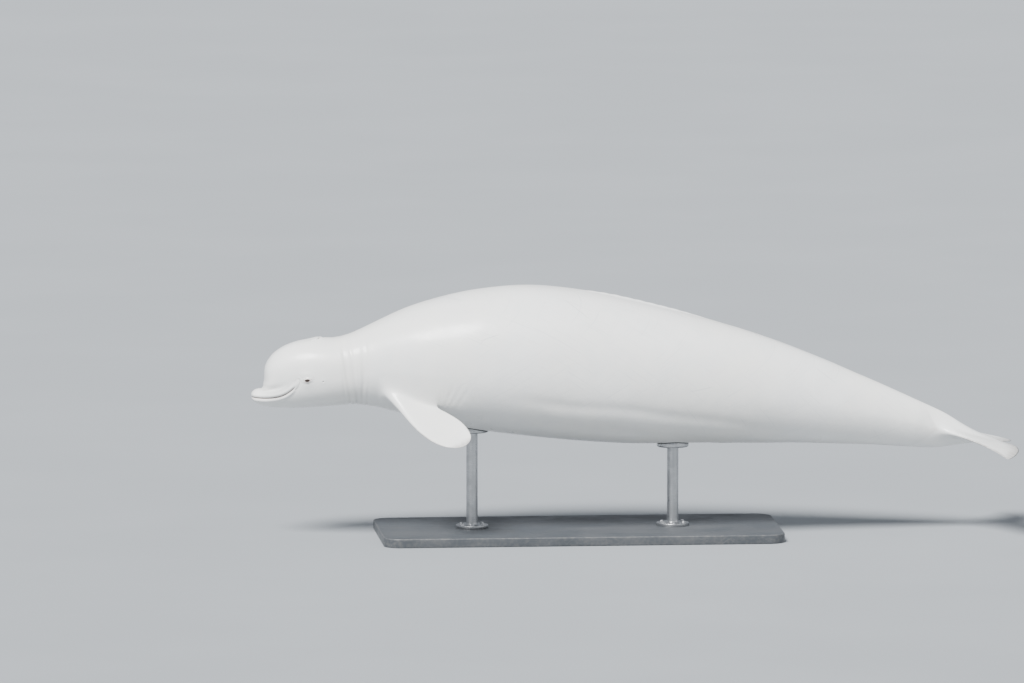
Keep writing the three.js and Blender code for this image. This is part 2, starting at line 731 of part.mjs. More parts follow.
function addRod(name, station) {
  const belly = bend(skinPoint(station, -Math.PI / 2));
  const length = TRUNK.find(({ from, to }) => station > from && station < to);
  const place = (geometry) => geometry.translate(belly.x, 0, 0);
  const flangeTop = BASE.thick + JOINT_GAP + FLANGE.thick;
  const padFoot = belly.z - SADDLE.below;
  const pad = solid(place(upright(SADDLE.radius, padFoot, belly.z + SADDLE.above, 40)));
  const dished = pad.subtract(solid(trunkLength(length, JOINT_GAP, 5)));
  add(`stand_flange_${name}`, place(upright(FLANGE.radius, BASE.thick + JOINT_GAP, flangeTop, 40)), "steel");
  add(`stand_rod_${name}`, place(upright(ROD.radius, flangeTop + JOINT_GAP, padFoot - JOINT_GAP)), "steel");
  add(`stand_pad_${name}`, geometryOf(largest(dished)), "steel");
}

addBase();
for (const [name, station] of Object.entries(ROD.stations)) addRod(name, station);

export default whale;
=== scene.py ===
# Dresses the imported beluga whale: one skin over the whole animal, its eyes and the display stand.
# The whale's shape is worked out in millimetres, straight, and then bent along its spine into the pose.
# A station is a distance from the tip of the beak towards the tail, and a turn goes round the body:
# 0 on the right side, 90 degrees on the back, 180 on the left side.
import math

import bmesh
import bpy
import numpy as np
from mathutils import Matrix, Vector, noise
from mathutils.bvhtree import BVHTree


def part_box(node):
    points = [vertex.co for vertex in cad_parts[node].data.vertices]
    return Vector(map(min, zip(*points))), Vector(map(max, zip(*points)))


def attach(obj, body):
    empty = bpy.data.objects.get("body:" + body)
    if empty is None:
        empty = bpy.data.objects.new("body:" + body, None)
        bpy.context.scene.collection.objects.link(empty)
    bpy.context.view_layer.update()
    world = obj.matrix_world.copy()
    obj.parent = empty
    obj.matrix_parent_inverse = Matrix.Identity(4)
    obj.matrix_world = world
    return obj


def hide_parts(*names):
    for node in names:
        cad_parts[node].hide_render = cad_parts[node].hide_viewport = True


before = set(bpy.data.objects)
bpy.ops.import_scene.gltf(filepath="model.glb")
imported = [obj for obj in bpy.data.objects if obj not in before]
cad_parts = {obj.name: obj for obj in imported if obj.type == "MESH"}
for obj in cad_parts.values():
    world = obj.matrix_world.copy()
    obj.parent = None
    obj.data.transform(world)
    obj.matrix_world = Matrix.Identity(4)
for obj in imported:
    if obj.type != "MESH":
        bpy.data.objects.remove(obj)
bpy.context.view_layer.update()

MM = 0.001
SIDES = {"left": -1, "right": 1}

# Sections across the straight whale: station, top, bottom, half width and the height where it is widest
SECTIONS = [
    (0, -122, -122, 0, -122),
    (10, -99, -146, 38, -123),
    (32, -87, -166, 60, -126),
    (60, -80, -180, 77, -128),
    (84, -48, -188, 90, -120),
    (112, 10, -195, 104, -100),
    (146, 64, -201, 119, -82),
    (190, 101, -208, 136, -68),
    (250, 125, -216, 157, -58),
    (320, 133, -224, 174, -52),
    (400, 128, -231, 184, -50),
    (480, 119, -236, 186, -52),
    (560, 131, -244, 190, -50),
    (680, 180, -266, 222, -40),
    (850, 254, -314, 286, -26),
    (1080, 327, -362, 346, -15),
    (1380, 385, -390, 378, -8),
    (1700, 392, -396, 382, -5),
    (2050, 363, -374, 356, 0),
    (2420, 328, -318, 302, 5),
    (2800, 278, -246, 230, 14),
    (3150, 216, -176, 158, 22),
    (3420, 168, -122, 104, 28),
    (3640, 126, -80, 66, 30),
    (3840, 86, -34, 50, 30),
    (4000, 52, 6, 40, 29),
]
# Station and exponent of the section's curve: 2 is an ellipse, less makes a keel above and below
ROUNDNESS = [
    (0, 2.2),
    (300, 2.3),
    (700, 2.15),
    (1600, 2.1),
    (2700, 2.0),
    (3300, 1.8),
    (3640, 1.7),
    (4000, 1.7),
]
# Station and slope of the spine in degrees, rising towards the tail
NECK_START = 470
PITCH = [
    (NECK_START, 8),
    (640, 3.2),
    (850, -0.2),
    (1200, -3.2),
    (1700, -6.6),
    (2300, -10),
    (2900, -12.8),
    (3400, -14.3),
    (3700, -13.6),
    (4100, -9),
]
SPINE_STEP = 5
SPINE_END = 4200
BALANCE_STATION = 1740
SPINE_HEIGHT = 900
BODY_LENGTH = 4000

# Station and height of the mouth's line
MOUTH = [(0, -122), (60, -132), (125, -133), (175, -121), (222, -92), (260, -60)]
MOUTH_CORNER = 222
CREASE_RISE, CREASE_STATION = 50, 60
# The melon: how far it reaches forwards, the height where it does so fully, and where it comes and goes
MELON_OVERHANG, MELON_TOP, MELON_FROM, MELON_FULL, MELON_TO = 26, 40, 30, 90, 330

# Flukes
FLUKE_START, BLEND_FROM, BLEND_TO = 3640, 3520, 3800
FLUKE_PLANE, FLUKE_THICK, FLUKE_EDGE, FLUKE_CORE, FLUKE_DROOP = 29, 21, 1.6, 46, 34
HALF_SPAN, LOBE_REACH, NOTCH_WIDTH = 490, 92, 62
# How points crowd at the edges, and exponents of the thinning, of the core's fade and of the lobes
EDGE_CROWD, FLUKE_THINNING, CORE_FADE, LOBE_FADE = 0.6, 1.5, 1.6, 2.6
# Station and half span of the leading edge
FLUKE_OUTLINE = [
    (3640, 66),
    (3700, 92),
    (3760, 152),
    (3820, 244),
    (3880, 346),
    (3930, 424),
    (3965, 468),
    (3988, 489),
    (4000, 488),
]


def smoothstep(x, low, high):
    share = np.clip((x - low) / (high - low), 0, 1)
    return share * share * (3 - 2 * share)


def falling(x, low, high):
    """1 up to a place, fading to 0 at another."""
    return 1 - smoothstep(x, low, high)


def window(x, low, high, fade):
    """1 between two places, fading to 0 outside them."""
    return smoothstep(x, low - fade, low) * falling(x, high, high + fade)


def bell(x, width):
    return np.exp(-((x / width) ** 2))


def signed_power(x, power):
    return np.sign(x) * np.abs(x) ** power


def spline(xs, ys):
    """A natural cubic spline, straight on past its ends."""
    xs, ys = np.array(xs, float), np.array(ys, float)
    steps = np.diff(xs)
    inner = len(xs) - 2
    system = np.diag(2 * (steps[:-1] + steps[1:]))
    system += np.diag(steps[1:-1], 1) + np.diag(steps[1:-1], -1)
    second = np.zeros(len(xs))
    second[1:-1] = np.linalg.solve(system, 6 * np.diff(np.diff(ys) / steps))

    def curve(x):
        i = np.clip(np.searchsorted(xs, x, side="right") - 1, 0, inner)
        b = (x - xs[i]) / steps[i]
        a = 1 - b
        bent = ((a**3 - a) * second[i] + (b**3 - b) * second[i + 1]) * steps[i] ** 2 / 6
        return a * ys[i] + b * ys[i + 1] + np.where((b >= 0) & (b <= 1), bent, 0)

    return curve


def by_station(rows):
    return spline(*zip(*rows))


def by_root(rows, column, tip):
    """A column of a table by the square root of the distance from the tip, which rounds it."""
    return spline([math.sqrt(abs(row[0] - tip)) for row in rows], [row[column] for row in rows])


def of_section(column):
    curve = by_root(SECTIONS, column, 0)
    return lambda station: curve(np.sqrt(np.maximum(station, 0)))


top_at, bottom_at, half_width_at, widest_at = (of_section(column) for column in (1, 2, 3, 4))
roundness_at = by_station(ROUNDNESS)
mouth_height = by_station(MOUTH)
half_span_at = by_station(FLUKE_OUTLINE)
pitch_at = by_station(PITCH)


def spine():
    """The spine's places and slopes every few millimetres: arrays of x, z and pitch."""
    stations = np.arange(0, SPINE_END + SPINE_STEP, SPINE_STEP, dtype=float)
    pitch = np.radians(pitch_at(np.maximum(stations, NECK_START)))
    x = np.concatenate([[0], np.cumsum(SPINE_STEP * np.cos(pitch))[:-1]])
    z = np.concatenate([[0], np.cumsum(SPINE_STEP * np.sin(pitch))[:-1]])
    balance = BALANCE_STATION // SPINE_STEP
    return x - x[balance], z - z[balance] + SPINE_HEIGHT, pitch


SPINE_X, SPINE_Z, SPINE_PITCH = spine()


def bend(points):
    """Carries points of the straight whale to their places in the pose."""
    along = np.clip(points[:, 0] / SPINE_STEP, 0, len(SPINE_X) - 2)
    i = along.astype(int)
    share = along - i
    pitch = SPINE_PITCH[i] + share * (SPINE_PITCH[i + 1] - SPINE_PITCH[i])
    x = SPINE_X[i] + share * (SPINE_X[i + 1] - SPINE_X[i])
    z = SPINE_Z[i] + share * (SPINE_Z[i + 1] - SPINE_Z[i])
    ahead = np.minimum(points[:, 0], 0)
    height = points[:, 2]
    return np.stack(
        [
            x + ahead * np.cos(pitch) - height * np.sin(pitch),
            points[:, 1],
            z + ahead * np.sin(pitch) + height * np.cos(pitch),
        ],
        axis=1,
    )


# Small nicks that age leaves in the flukes' trailing edge: distance to the side, depth and width
NICKS = [(-318, 9, 7), (-196, 4, 5), (241, 7, 6), (390, 4, 5)]


def trailing_reach(side):
    """How far the trailing edge of the flukes lies behind the notch."""
    span = np.abs(side) / HALF_SPAN
    reach = LOBE_REACH * (1 - np.exp(-np.abs(side) / NOTCH_WIDTH)) * np.maximum(0, 1 - span**LOBE_FADE)
    return reach - sum(depth * bell(side - at, width) for at, depth, width in NICKS)


def droop(side):
    return FLUKE_PLANE - FLUKE_DROOP * (side / HALF_SPAN) ** 2


def fluke_points(station, turn):
    share = np.clip((station - FLUKE_START) / (BODY_LENGTH - FLUKE_START), 0, 1)
    crowd = 1 + EDGE_CROWD * smoothstep(station, BLEND_FROM, BLEND_TO)
    across = signed_power(np.cos(turn), crowd)
    side = half_span_at(station) * across
    thick = FLUKE_THICK + (FLUKE_EDGE - FLUKE_THICK) * share**FLUKE_THINNING
    wing = thick * np.sqrt(np.maximum(0, 1 - across**2))
    up = np.sin(turn) > 0
    root = np.where(up, top_at(station) - FLUKE_PLANE, FLUKE_PLANE - bottom_at(station))
    core = (root * (1 - share**CORE_FADE) - wing) * bell(side, FLUKE_CORE)
    height = wing + np.maximum(core, 0) * np.abs(np.sin(turn))
    behind = station + trailing_reach(side) * smoothstep(share, 0, 1)
    return np.stack([behind, side, droop(side) + np.where(up, height, -height)], axis=1)


def overhang(station, height):
    """How far the melon reaches forwards over the beak."""
    domed = smoothstep(height, float(mouth_height(CREASE_STATION)) + CREASE_RISE, MELON_TOP)
    coming = smoothstep(station, MELON_FROM, MELON_FULL)
    return MELON_OVERHANG * domed * falling(station, MELON_FULL, MELON_TO) * coming


def smooth_points(station, turn):
    """Points of the smooth straight whale, before lips, lids and folds."""
    power = 2 / roundness_at(station)
    middle = widest_at(station)
    rise = np.where(np.sin(turn) > 0, top_at(station) - middle, middle - bottom_at(station))
    side = half_width_at(station) * signed_power(np.cos(turn), power)
    height = middle + rise * signed_power(np.sin(turn), power)
    points = np.stack([station - overhang(station, height), side, height], axis=1)
    tail = smoothstep(station, BLEND_FROM, BLEND_TO)[:, None]
    return points + (fluke_points(station, turn) - points) * tail


def outward(station, turn):
    """Unit vectors that point out of the smooth whale. At the tip, they are those just behind it."""
    near = np.maximum(station, 3)
    swing = 0.012
    along = smooth_points(near + 1, turn) - smooth_points(near - 1, turn)
    round_body = smooth_points(near, turn + swing) - smooth_points(near, turn - swing)
    normal = np.cross(round_body, along)
    return normal / np.maximum(np.linalg.norm(normal, axis=1), 1e-9)[:, None]


def turn_of_height(station, height, side):
    middle = widest_at(station)
    rise = height - middle
    reach = np.where(rise > 0, top_at(station) - middle, middle - bottom_at(station))
    turn = np.arcsin(signed_power(rise / reach, roundness_at(station) / 2))
    return turn if side > 0 else math.pi - turn


def under_melon(x, height_at):
    """The station whose point the melon's overhang carries forwards to x, found step by step."""
    station = x
    for _ in range(4):
        station = x + overhang(station, height_at(station))
    return station


def place_on_side(x, height, side):
    """Station and turn of the smooth whale's point at a place of its side view."""
    station = under_melon(x, lambda _: height)
    return station, turn_of_height(station, height, side)


def place_on_top(x, across):
    """Station and turn of the smooth whale's point at a place of its top view."""
    station = under_melon(x, top_at)
    share = signed_power(across / half_width_at(station), roundness_at(station) / 2)
    return station, np.arccos(np.clip(share, -1, 1))


class Relief:
    """How far the skin stands out from the smooth whale, in millimetres, and how it is marked there: painted
    shade in its grooves, folds and openings, grey rims and rosy skin.

    A swelling or groove is highest or deepest where the distance from its line is 0, and fades over
    its width. A number taken from the distance moves the line that far to the side.
    """

    def __init__(self, station, turn, points):
        self.station, self.turn = station, turn
        self.x, self.side, self.z = points.T
        self.above, self.below = self.z > 0, self.z < 0
        self.height = np.zeros(len(station))
        # Painted shade in grooves, folds and openings, grey rims, and rosy skin
        self.shade_and_marks, self.rim, self.rosy = (np.zeros(len(station)) for _ in range(3))

    def swell(self, distance, height, width, where=1.0):
        self.height += where * height * bell(distance, width)

    # A groove's darkness is painted shade in it; its rosiness is the skin's own colour.
    def groove(self, distance, depth, width, where=1.0, shade_and_marks=0.0, rosy=0.0):
        line = where * bell(distance, width)
        self.height -= depth * line
        self.shade_and_marks = np.maximum(self.shade_and_marks, shade_and_marks * line)
        self.rosy = np.maximum(self.rosy, rosy * line)

    def marks(self):
        return np.stack([self.shade_and_marks, self.rim, self.rosy], axis=1)


# Distance of the lips' middle and of the chin's fold from the mouth's line
LIP_MIDDLE, CHIN_FOLD = 13, 37
# Cheek folds round the mouth's corner: distance, depth, width, where they start behind it, and the painted
# shade in them
CHEEK_FOLDS = [(22, 2.6, 3.4, 4, 0.15), (33, 1.1, 4, 8, 0.0)]


def add_mouth(skin):
    """Lips on both sides of the mouth's line, a dimple at its corner and the crease under the melon."""
    from_mouth = skin.z - mouth_height(skin.station)
    mouth = falling(skin.station, MOUTH_CORNER - 14, MOUTH_CORNER + 10)
    skin.swell(np.abs(from_mouth) - LIP_MIDDLE, 4.5, 10, where=mouth * smoothstep(skin.station, 0, 14))
    # The mouth's line, with painted shade in it
    skin.groove(from_mouth, 5.5, 2.6, where=mouth, shade_and_marks=0.85)
    skin.groove(from_mouth, 1.6, 6, where=mouth, rosy=0.5)
    skin.groove(from_mouth + CHIN_FOLD, 1.5, 5, where=window(skin.station, 60, 150, 40))
    past_corner = skin.station - MOUTH_CORNER
    corner = np.hypot(past_corner - 12, from_mouth - 6)
    skin.swell(corner, 2.4, 14)
    # Cheek folds, the first with painted shade in it
    for at, depth, width, start, shade_and_marks in CHEEK_FOLDS:
        skin.groove(corner - at, depth, width, where=past_corner > start, shade_and_marks=shade_and_marks)
    crease = smoothstep(skin.station, 44, 62) * falling(skin.station, 95, 205)
    skin.groove(from_mouth - CREASE_RISE, 7, 13, where=crease)
    # A thin line of painted shade along the crease
    skin.groove(from_mouth - CREASE_RISE + 4, 2.2, 4, where=crease, shade_and_marks=0.2)


# Eyes: place on the straight whale, size, and how deep the ball's centre lies under the skin
EYE_STATION, EYE_HEIGHT, EYE_RADIUS, EYE_SUNK, EYE_MOUND = 294, -60, 24, 20.5, 5
# Lids: half width and half height of the opening, exponent of its curve, and thickness
LID_REACH, LID_OPEN, LID_POWER, LID_THICK, LEAST_LID = 14, 8, 1.75, 1.7, 0.8
# Folds round the lids: distance in lid openings, depth above and below the eye, and width
LID_FOLDS = [(1.62, 1.9, 1.2, 0.13), (2.16, 1.0, 0.8, 0.15), (2.75, 0.7, 0.4, 0.22)]
# The rim rests on the ball, and runs out softly where the ball dips so far under the skin
RIM_DIP, RIM_SOFTNESS = 0.8, 0.6
# How far from an eye its lids and folds reach
LIDS_NEAR = 62
# Wrinkles from the corners of the eye: 1 behind or -1 before it, slope, length and depth
EYE_WRINKLES = [
    (1, 0.05, 24, 1.5),
    (1, 0.5, 17, 0.9),
    (1, -0.45, 19, 0.9),
    (-1, -0.25, 20, 1.4),
    (-1, 0.3, 14, 0.7),
]


def eye_frame(side):
    """The surface point, and the outward, rearward and upward directions of an eye."""
    station = np.array([float(EYE_STATION)])
    turn = turn_of_height(station, EYE_HEIGHT, side)
    normal = outward(station, turn)[0]
    surface = smooth_points(station, turn)[0] + normal * EYE_MOUND
    back = np.array([1.0, 0, 0]) - normal * normal[0]
    back /= np.linalg.norm(back)
    return surface, normal, back, np.cross(normal, back) * -side


EYES = {side: eye_frame(side) for side in SIDES.values()}


def lid_heights(points, side):
    """How far the lids stand out, with the folds round them, the painted shade inside and round them, and
    how rosy they are.
    """
    surface, eye_out, back, up = EYES[side]
    a, b, lie = ((points - surface) @ axis for axis in (back, up, eye_out))
    ring = (np.abs(a / LID_REACH) ** LID_POWER + np.abs(b / LID_OPEN) ** LID_POWER) ** (1 / LID_POWER)
    ball = np.sqrt(np.maximum(EYE_RADIUS**2 - a**2 - b**2, 1)) - EYE_SUNK
    resting = RIM_SOFTNESS * np.log1p(np.exp((ball + RIM_DIP) / RIM_SOFTNESS)) - RIM_DIP
    rim = (resting + LID_THICK - lie) * falling(ring, 1.0, 2.6) + 0.9 * bell(ring - 1.28, 0.24)
    upper = smoothstep(b, -3, 3)
    angle = np.arctan2(b, a)
    wavy = ring + 0.05 * np.sin(3 * angle + 1) + 0.03 * np.sin(8 * angle)
    folds = np.zeros(len(a))
    for at, over, under, width in LID_FOLDS:
        folds += (under + (over - under) * upper) * bell(wavy - at, width)
    for way, slope, length, depth in EYE_WRINKLES:
        along = way * a - LID_REACH - 3
        line = bell(b - slope * along - 1.2 * np.sin(along / 4), 1.1)
        folds += depth * line * window(along, 2, length - 8, 6)
    inner = ball - 4 - lie
    outer = np.maximum(rim - folds, ball + LEAST_LID - lie)
    height = inner + (outer - inner) * smoothstep(ring, 0.86, 1.0)
    # Painted shade in the lids' opening and in the folds round them
    shade_and_marks = 0.75 * falling(ring, 0.98, 1.2) + 0.16 * folds
    return height, shade_and_marks, 0.6 * bell(ring - 1.1, 0.3)


def add_eye_mounds(skin):
    to_eye = np.hypot(skin.x - EYE_STATION, skin.z - EYE_HEIGHT)
    skin.swell(to_eye, EYE_MOUND, 40)
    brow = np.hypot((skin.x - EYE_STATION + 4) / 2.2, skin.z - EYE_HEIGHT - 34)
    skin.swell(brow, 1.6, 12)


# Blowhole: a crescent whose ends point forwards, a little to the left of the middle
BLOWHOLE_STATION, BLOWHOLE_SHIFT, BLOWHOLE_REACH, BLOWHOLE_SAG = 398, -6, 32, 16
# Distances from the slit to its lips, to the roll before it and to the grooves behind and before it
SLIT_LIP, SLIT_ROLL, SLIT_GROOVE_BEHIND, SLIT_GROOVE_BEFORE = 7.5, 17, 23, 36


def add_blowhole(skin):
    across = skin.side - BLOWHOLE_SHIFT
    share = across / BLOWHOLE_REACH
    behind = (skin.x - BLOWHOLE_STATION + BLOWHOLE_SAG * share**2) / np.sqrt(1 + share**2)
    distance = np.hypot(behind, np.maximum(np.abs(across) - BLOWHOLE_REACH, 0))
    near_slit = skin.above * falling(np.abs(share), 0.7, 1.5)
    tapered = skin.above * (1 - 0.6 * smoothstep(np.abs(share), 0.3, 1.1))
    mound = np.hypot(skin.x - BLOWHOLE_STATION - 8, across)
    skin.swell(mound, 5, 46, where=skin.above)
    skin.swell(distance - SLIT_LIP, 3, 4.5, where=near_slit)
    # The slit, with painted shade in it
    skin.groove(distance, 13, 2.9, where=tapered, shade_and_marks=1)
    skin.swell(behind + SLIT_ROLL, 2.6, 10, where=near_slit)
    skin.groove(behind - SLIT_GROOVE_BEHIND, 1.6, 6, where=near_slit)
    skin.groove(behind + SLIT_GROOVE_BEFORE, 1.6, 10, where=near_slit)


EAR_STATION, EAR_HEIGHT = 374, -78
# Folds round the neck: station, depth and width
NECK_FOLDS = [
    (502, 4.8, 10),
    (540, 4.6, 11),
    (580, 4.0, 11),
    (521, 1.0, 4),
    (562, 1.2, 4),
    (612, 1.8, 9),
    (472, 1.4, 7),
]


def add_neck(skin):
    to_ear = np.hypot(skin.x - EAR_STATION, skin.z - EAR_HEIGHT)
    skin.swell(to_ear - 8, 0.8, 4)
    # The ear's pit, with painted shade in it
    skin.groove(to_ear, 6, 2.6, shade_and_marks=0.7)
    lower = 1 - 0.75 * smoothstep(np.sin(skin.turn), 0.1, 1)
    # Folds round the neck, with faint painted shade in them, more in the deeper ones
    for at, depth, width in NECK_FOLDS:
        wander = 6 * np.sin(2 * skin.turn + at) + 2 * np.sin(5 * skin.turn - at)
        patchy = 0.72 + 0.28 * np.sin(3 * skin.turn + 0.7 * at)
        skin.groove(skin.station - at - wander, depth, width, where=lower * patchy, shade_and_marks=0.03 * depth)


# Ridge: the low, tough, notched keel that stands in place of a fin
RIDGE_FROM, RIDGE_TO, RIDGE_HEIGHT, RIDGE_FOOT, RIDGE_HALF_WIDTH = 1700, 2380, 7, 1.5, 26
RIDGE_NOTCHES, NOTCH_SHARE = 11, 0.2


def add_ridge(skin):
    share = np.clip((skin.station - RIDGE_FROM) / (RIDGE_TO - RIDGE_FROM), 0, 1)
    swell = np.sin(math.pi * share**0.8) ** 0.7
    notches = np.abs(np.sin(math.pi * RIDGE_NOTCHES * share)) ** 3
    across = skin.side / (RIDGE_HALF_WIDTH * (0.35 + 0.65 * swell))
    keel = bell(across, 0.55) * skin.above * swell
    skin.height += (RIDGE_FOOT + RIDGE_HEIGHT * (1 - NOTCH_SHARE * notches)) * keel
    # Darker at the notches: painted shade in them, and the ridge's own grey marks
    skin.shade_and_marks = np.maximum(skin.shade_and_marks, 0.10 * bell(across, 0.4) * notches * skin.above * swell)


# Under the belly: stations of the navel, the slit and the vent
NAVEL_STATION, VENT_STATION = 1850, 2705
SLIT_STATIONS = (2520, 2625)
TEAT_STATION, TEAT_SIDE, TEAT_HALF_LENGTH = 2572, 24, 14


def add_belly(skin):
    under = falling(np.abs(skin.side), 20, 60) * skin.below
    navel = np.hypot(skin.station - NAVEL_STATION, skin.side)
    skin.swell(navel - 15, 1.5, 7, where=under)
    # Painted shade in the navel, the slits and the vent; their rosy colour is the skin's own
    skin.groove(navel, 5, 8, where=under, shade_and_marks=0.25)
    start, end = SLIT_STATIONS
    past_slit = np.maximum(np.maximum(start - skin.station, skin.station - end), 0)
    slit = np.hypot(skin.side, past_slit)
    skin.swell(slit - 11, 2.2, 7, where=under)
    skin.groove(slit, 7, 3, where=under, shade_and_marks=0.6, rosy=0.8)
    past_teat = np.maximum(np.abs(skin.station - TEAT_STATION) - TEAT_HALF_LENGTH, 0)
    teat = np.hypot(np.abs(skin.side) - TEAT_SIDE, past_teat)
    skin.groove(teat, 3, 2.4, where=under, shade_and_marks=0.4, rosy=0.6)
    vent = np.hypot(skin.station - VENT_STATION, skin.side)
    skin.swell(vent - 10, 1.2, 5, where=under)
    skin.groove(vent, 5, 4.5, where=under, shade_and_marks=0.5, rosy=0.8)


# Wrinkles behind the flipper: station at the height of the flipper's root, lean and depth
FLIPPER_WRINKLES = [(1036, 0.35, 2.4), (1070, 0.45, 2.0), (1110, 0.5, 1.5)]
ROOT_HEIGHT, WRINKLE_WIDTH, WRINKLE_REACH = -190, 7, 75
# Rolls of blubber: stations, how far the upper groove lies below the middle and drops rearwards,
# and how far under that groove the crest and the lower groove lie
ROLL_FROM, ROLL_TO, ROLL_DEPTH, ROLL_DROP, ROLL_CREST, LOWER_GROOVE = 1700, 2500, 165, 0.02, 60, 118


def add_flanks(skin):
    """Rolls of blubber along the lower flanks, and wrinkles behind the flippers."""
    flank = window(skin.station, ROLL_FROM, ROLL_TO, 420)
    wander = 18 * np.sin(skin.station / 330) + 5 * np.sin(skin.station / 97)
    roll = skin.z + ROLL_DEPTH + ROLL_DROP * (skin.station - ROLL_FROM) - wander
    skin.swell(roll + ROLL_CREST, 4.5, 52, where=flank)
    skin.groove(roll, 4.2, 26, where=flank)
    skin.groove(roll + LOWER_GROOVE, 2.2, 24, where=flank * window(skin.station, 1850, 2300, 300))
    from_root = skin.z - ROOT_HEIGHT
    for at, lean, depth in FLIPPER_WRINKLES:
        along = skin.station - at - lean * from_root
        skin.groove(along, depth, WRINKLE_WIDTH, where=bell(from_root, WRINKLE_REACH))


# Unevenness of the blubber: size of the lumps and their height
LUMPS = [(260, 2.2), (70, 0.5)]


def add_lumps(skin):
    points = np.stack([skin.x, skin.side, skin.z], axis=1)
    uneven = smoothstep(skin.station, 20, 200) * falling(skin.station, 3200, 3600)
    for size, height in LUMPS:
        skin.height += height * uneven * np.array([noise.noise(Vector(p) / size) for p in points])


def add_fluke_rims(skin):
    """Greyer edges of the flukes, and faint rays towards the trailing edge."""
    share = (skin.station - FLUKE_START) / (BODY_LENGTH - FLUKE_START)
    span = np.abs(skin.side) / half_span_at(skin.station)
    tail = smoothstep(skin.station, BLEND_FROM, BLEND_TO)
    skin.rim = tail * np.maximum(smoothstep(share, 0.78, 1.0), smoothstep(span, 0.9, 1.0))
    rays = np.sin(skin.side / 13 + 2 * np.sin(skin.side / 41))
    skin.height += 0.5 * rays * tail * window(share, 0.35, 0.9, 0.1)


FEATURES = [
    add_mouth,
    add_eye_mounds,
    add_blowhole,
    add_neck,
    add_ridge,
    add_belly,
    add_flanks,
    add_lumps,
    add_fluke_rims,
]


def skin_points(station, turn):
    """Points of the finished straight whale, and their marks: painted shade, grey rim and rosy skin."""
    base = smooth_points(station, turn)
    skin = Relief(station, turn, base)
    for add_feature in FEATURES:
        add_feature(skin)
    normal = np.where((station <= 0)[:, None], [[-1.0, 0, 0]], outward(station, turn))
    points = base + normal * skin.height[:, None]
    marks = skin.marks()
    for side in SIDES.values():
        surface, eye_out, _, _ = EYES[side]
        near = np.linalg.norm(points - surface, axis=1) < LIDS_NEAR
        height, shade_and_marks, rosy = lid_heights(points[near], side)
        points[near] += eye_out * height[:, None]
        # The lids' painted shade
        marks[near, 0] = np.maximum(marks[near, 0], shade_and_marks)
        marks[near, 2] = np.maximum(marks[near, 2], rosy)
    edge = station >= BODY_LENGTH
    points[edge, 2] = droop(points[edge, 1])
    return points, marks


# Rings of the skin: from station, to station, number of steps, ease
STRETCHES = [
    (0, 40, 22, 1.6),
    (40, 150, 42, 1),
    (150, NECK_START, 96, 1),
    (NECK_START, 640, 38, 1),
    (640, 1000, 36, 1),
    (1000, 1300, 18, 1),
    (1300, 2800, 84, 1),
    (2800, BLEND_FROM, 40, 1),
    (BLEND_FROM, BODY_LENGTH, 56, 0.9),
]
POINTS_ROUND = 148


def steps_along(stretches):
    places = [float(stretches[0][0])]
    for start, end, steps, ease in stretches:
        places.extend(start + (end - start) * (np.arange(1, steps + 1) / steps) ** ease)
    return np.array(places)


RINGS = steps_along(STRETCHES)


def mouth_turn(station):
    drop = widest_at(station) - mouth_height(station)
    depth = widest_at(station) - bottom_at(station)
    share = np.clip(drop / np.maximum(depth, 1), 0, 0.9)
    return -np.arcsin(share ** (roundness_at(station) / 2))


def turn_at(station, round_share):
    """The turn of a point of a ring, counted from the bottom. On the head the points crowd at the mouth."""
    quarter = 4 * round_share
    climbing = quarter <= 2
    share = np.where(climbing, quarter - 1, 3 - quarter)
    crowded = falling(station, 240, NECK_START)
    centre = mouth_turn(np.minimum(station, MOUTH_CORNER)) * crowded
    eased = share + crowded * (0.45 * share + 0.55 * share**3 - share)
    limit = np.where(share > 0, math.pi / 2 - centre, math.pi / 2 + centre)
    turn = centre + limit * eased
    return np.where(climbing, turn, math.pi - turn)


def grid_places(grid):
    """Station and turn of each point of the flat grid."""
    station = np.interp(grid[:, 0] * (len(RINGS) - 1), np.arange(len(RINGS)), RINGS)
    return station, turn_at(station, grid[:, 1])


def add_grid(bm, columns, rows):
    """Adds a flat unit grid and returns its points."""
    verts = bmesh.ops.create_grid(bm, x_segments=columns, y_segments=rows, size=0.5)["verts"]
    bmesh.ops.translate(bm, verts=verts, vec=(0.5, 0.5, 0))
    return verts


def coordinates(elements):
    return np.array([element.co for element in elements])


def centres_of(faces):
    return np.array([face.calc_center_median() for face in faces])


def place(bm, verts, points, marks):
    layer = bm.verts.layers.float_vector["marks"]
    for vert, point, mark in zip(verts, points, marks):
        vert.co = point
        vert[layer] = mark


def as_mesh(bm, name):
    mesh = bpy.data.meshes.new(name)
    bm.to_mesh(mesh)
    bm.free()
    return mesh


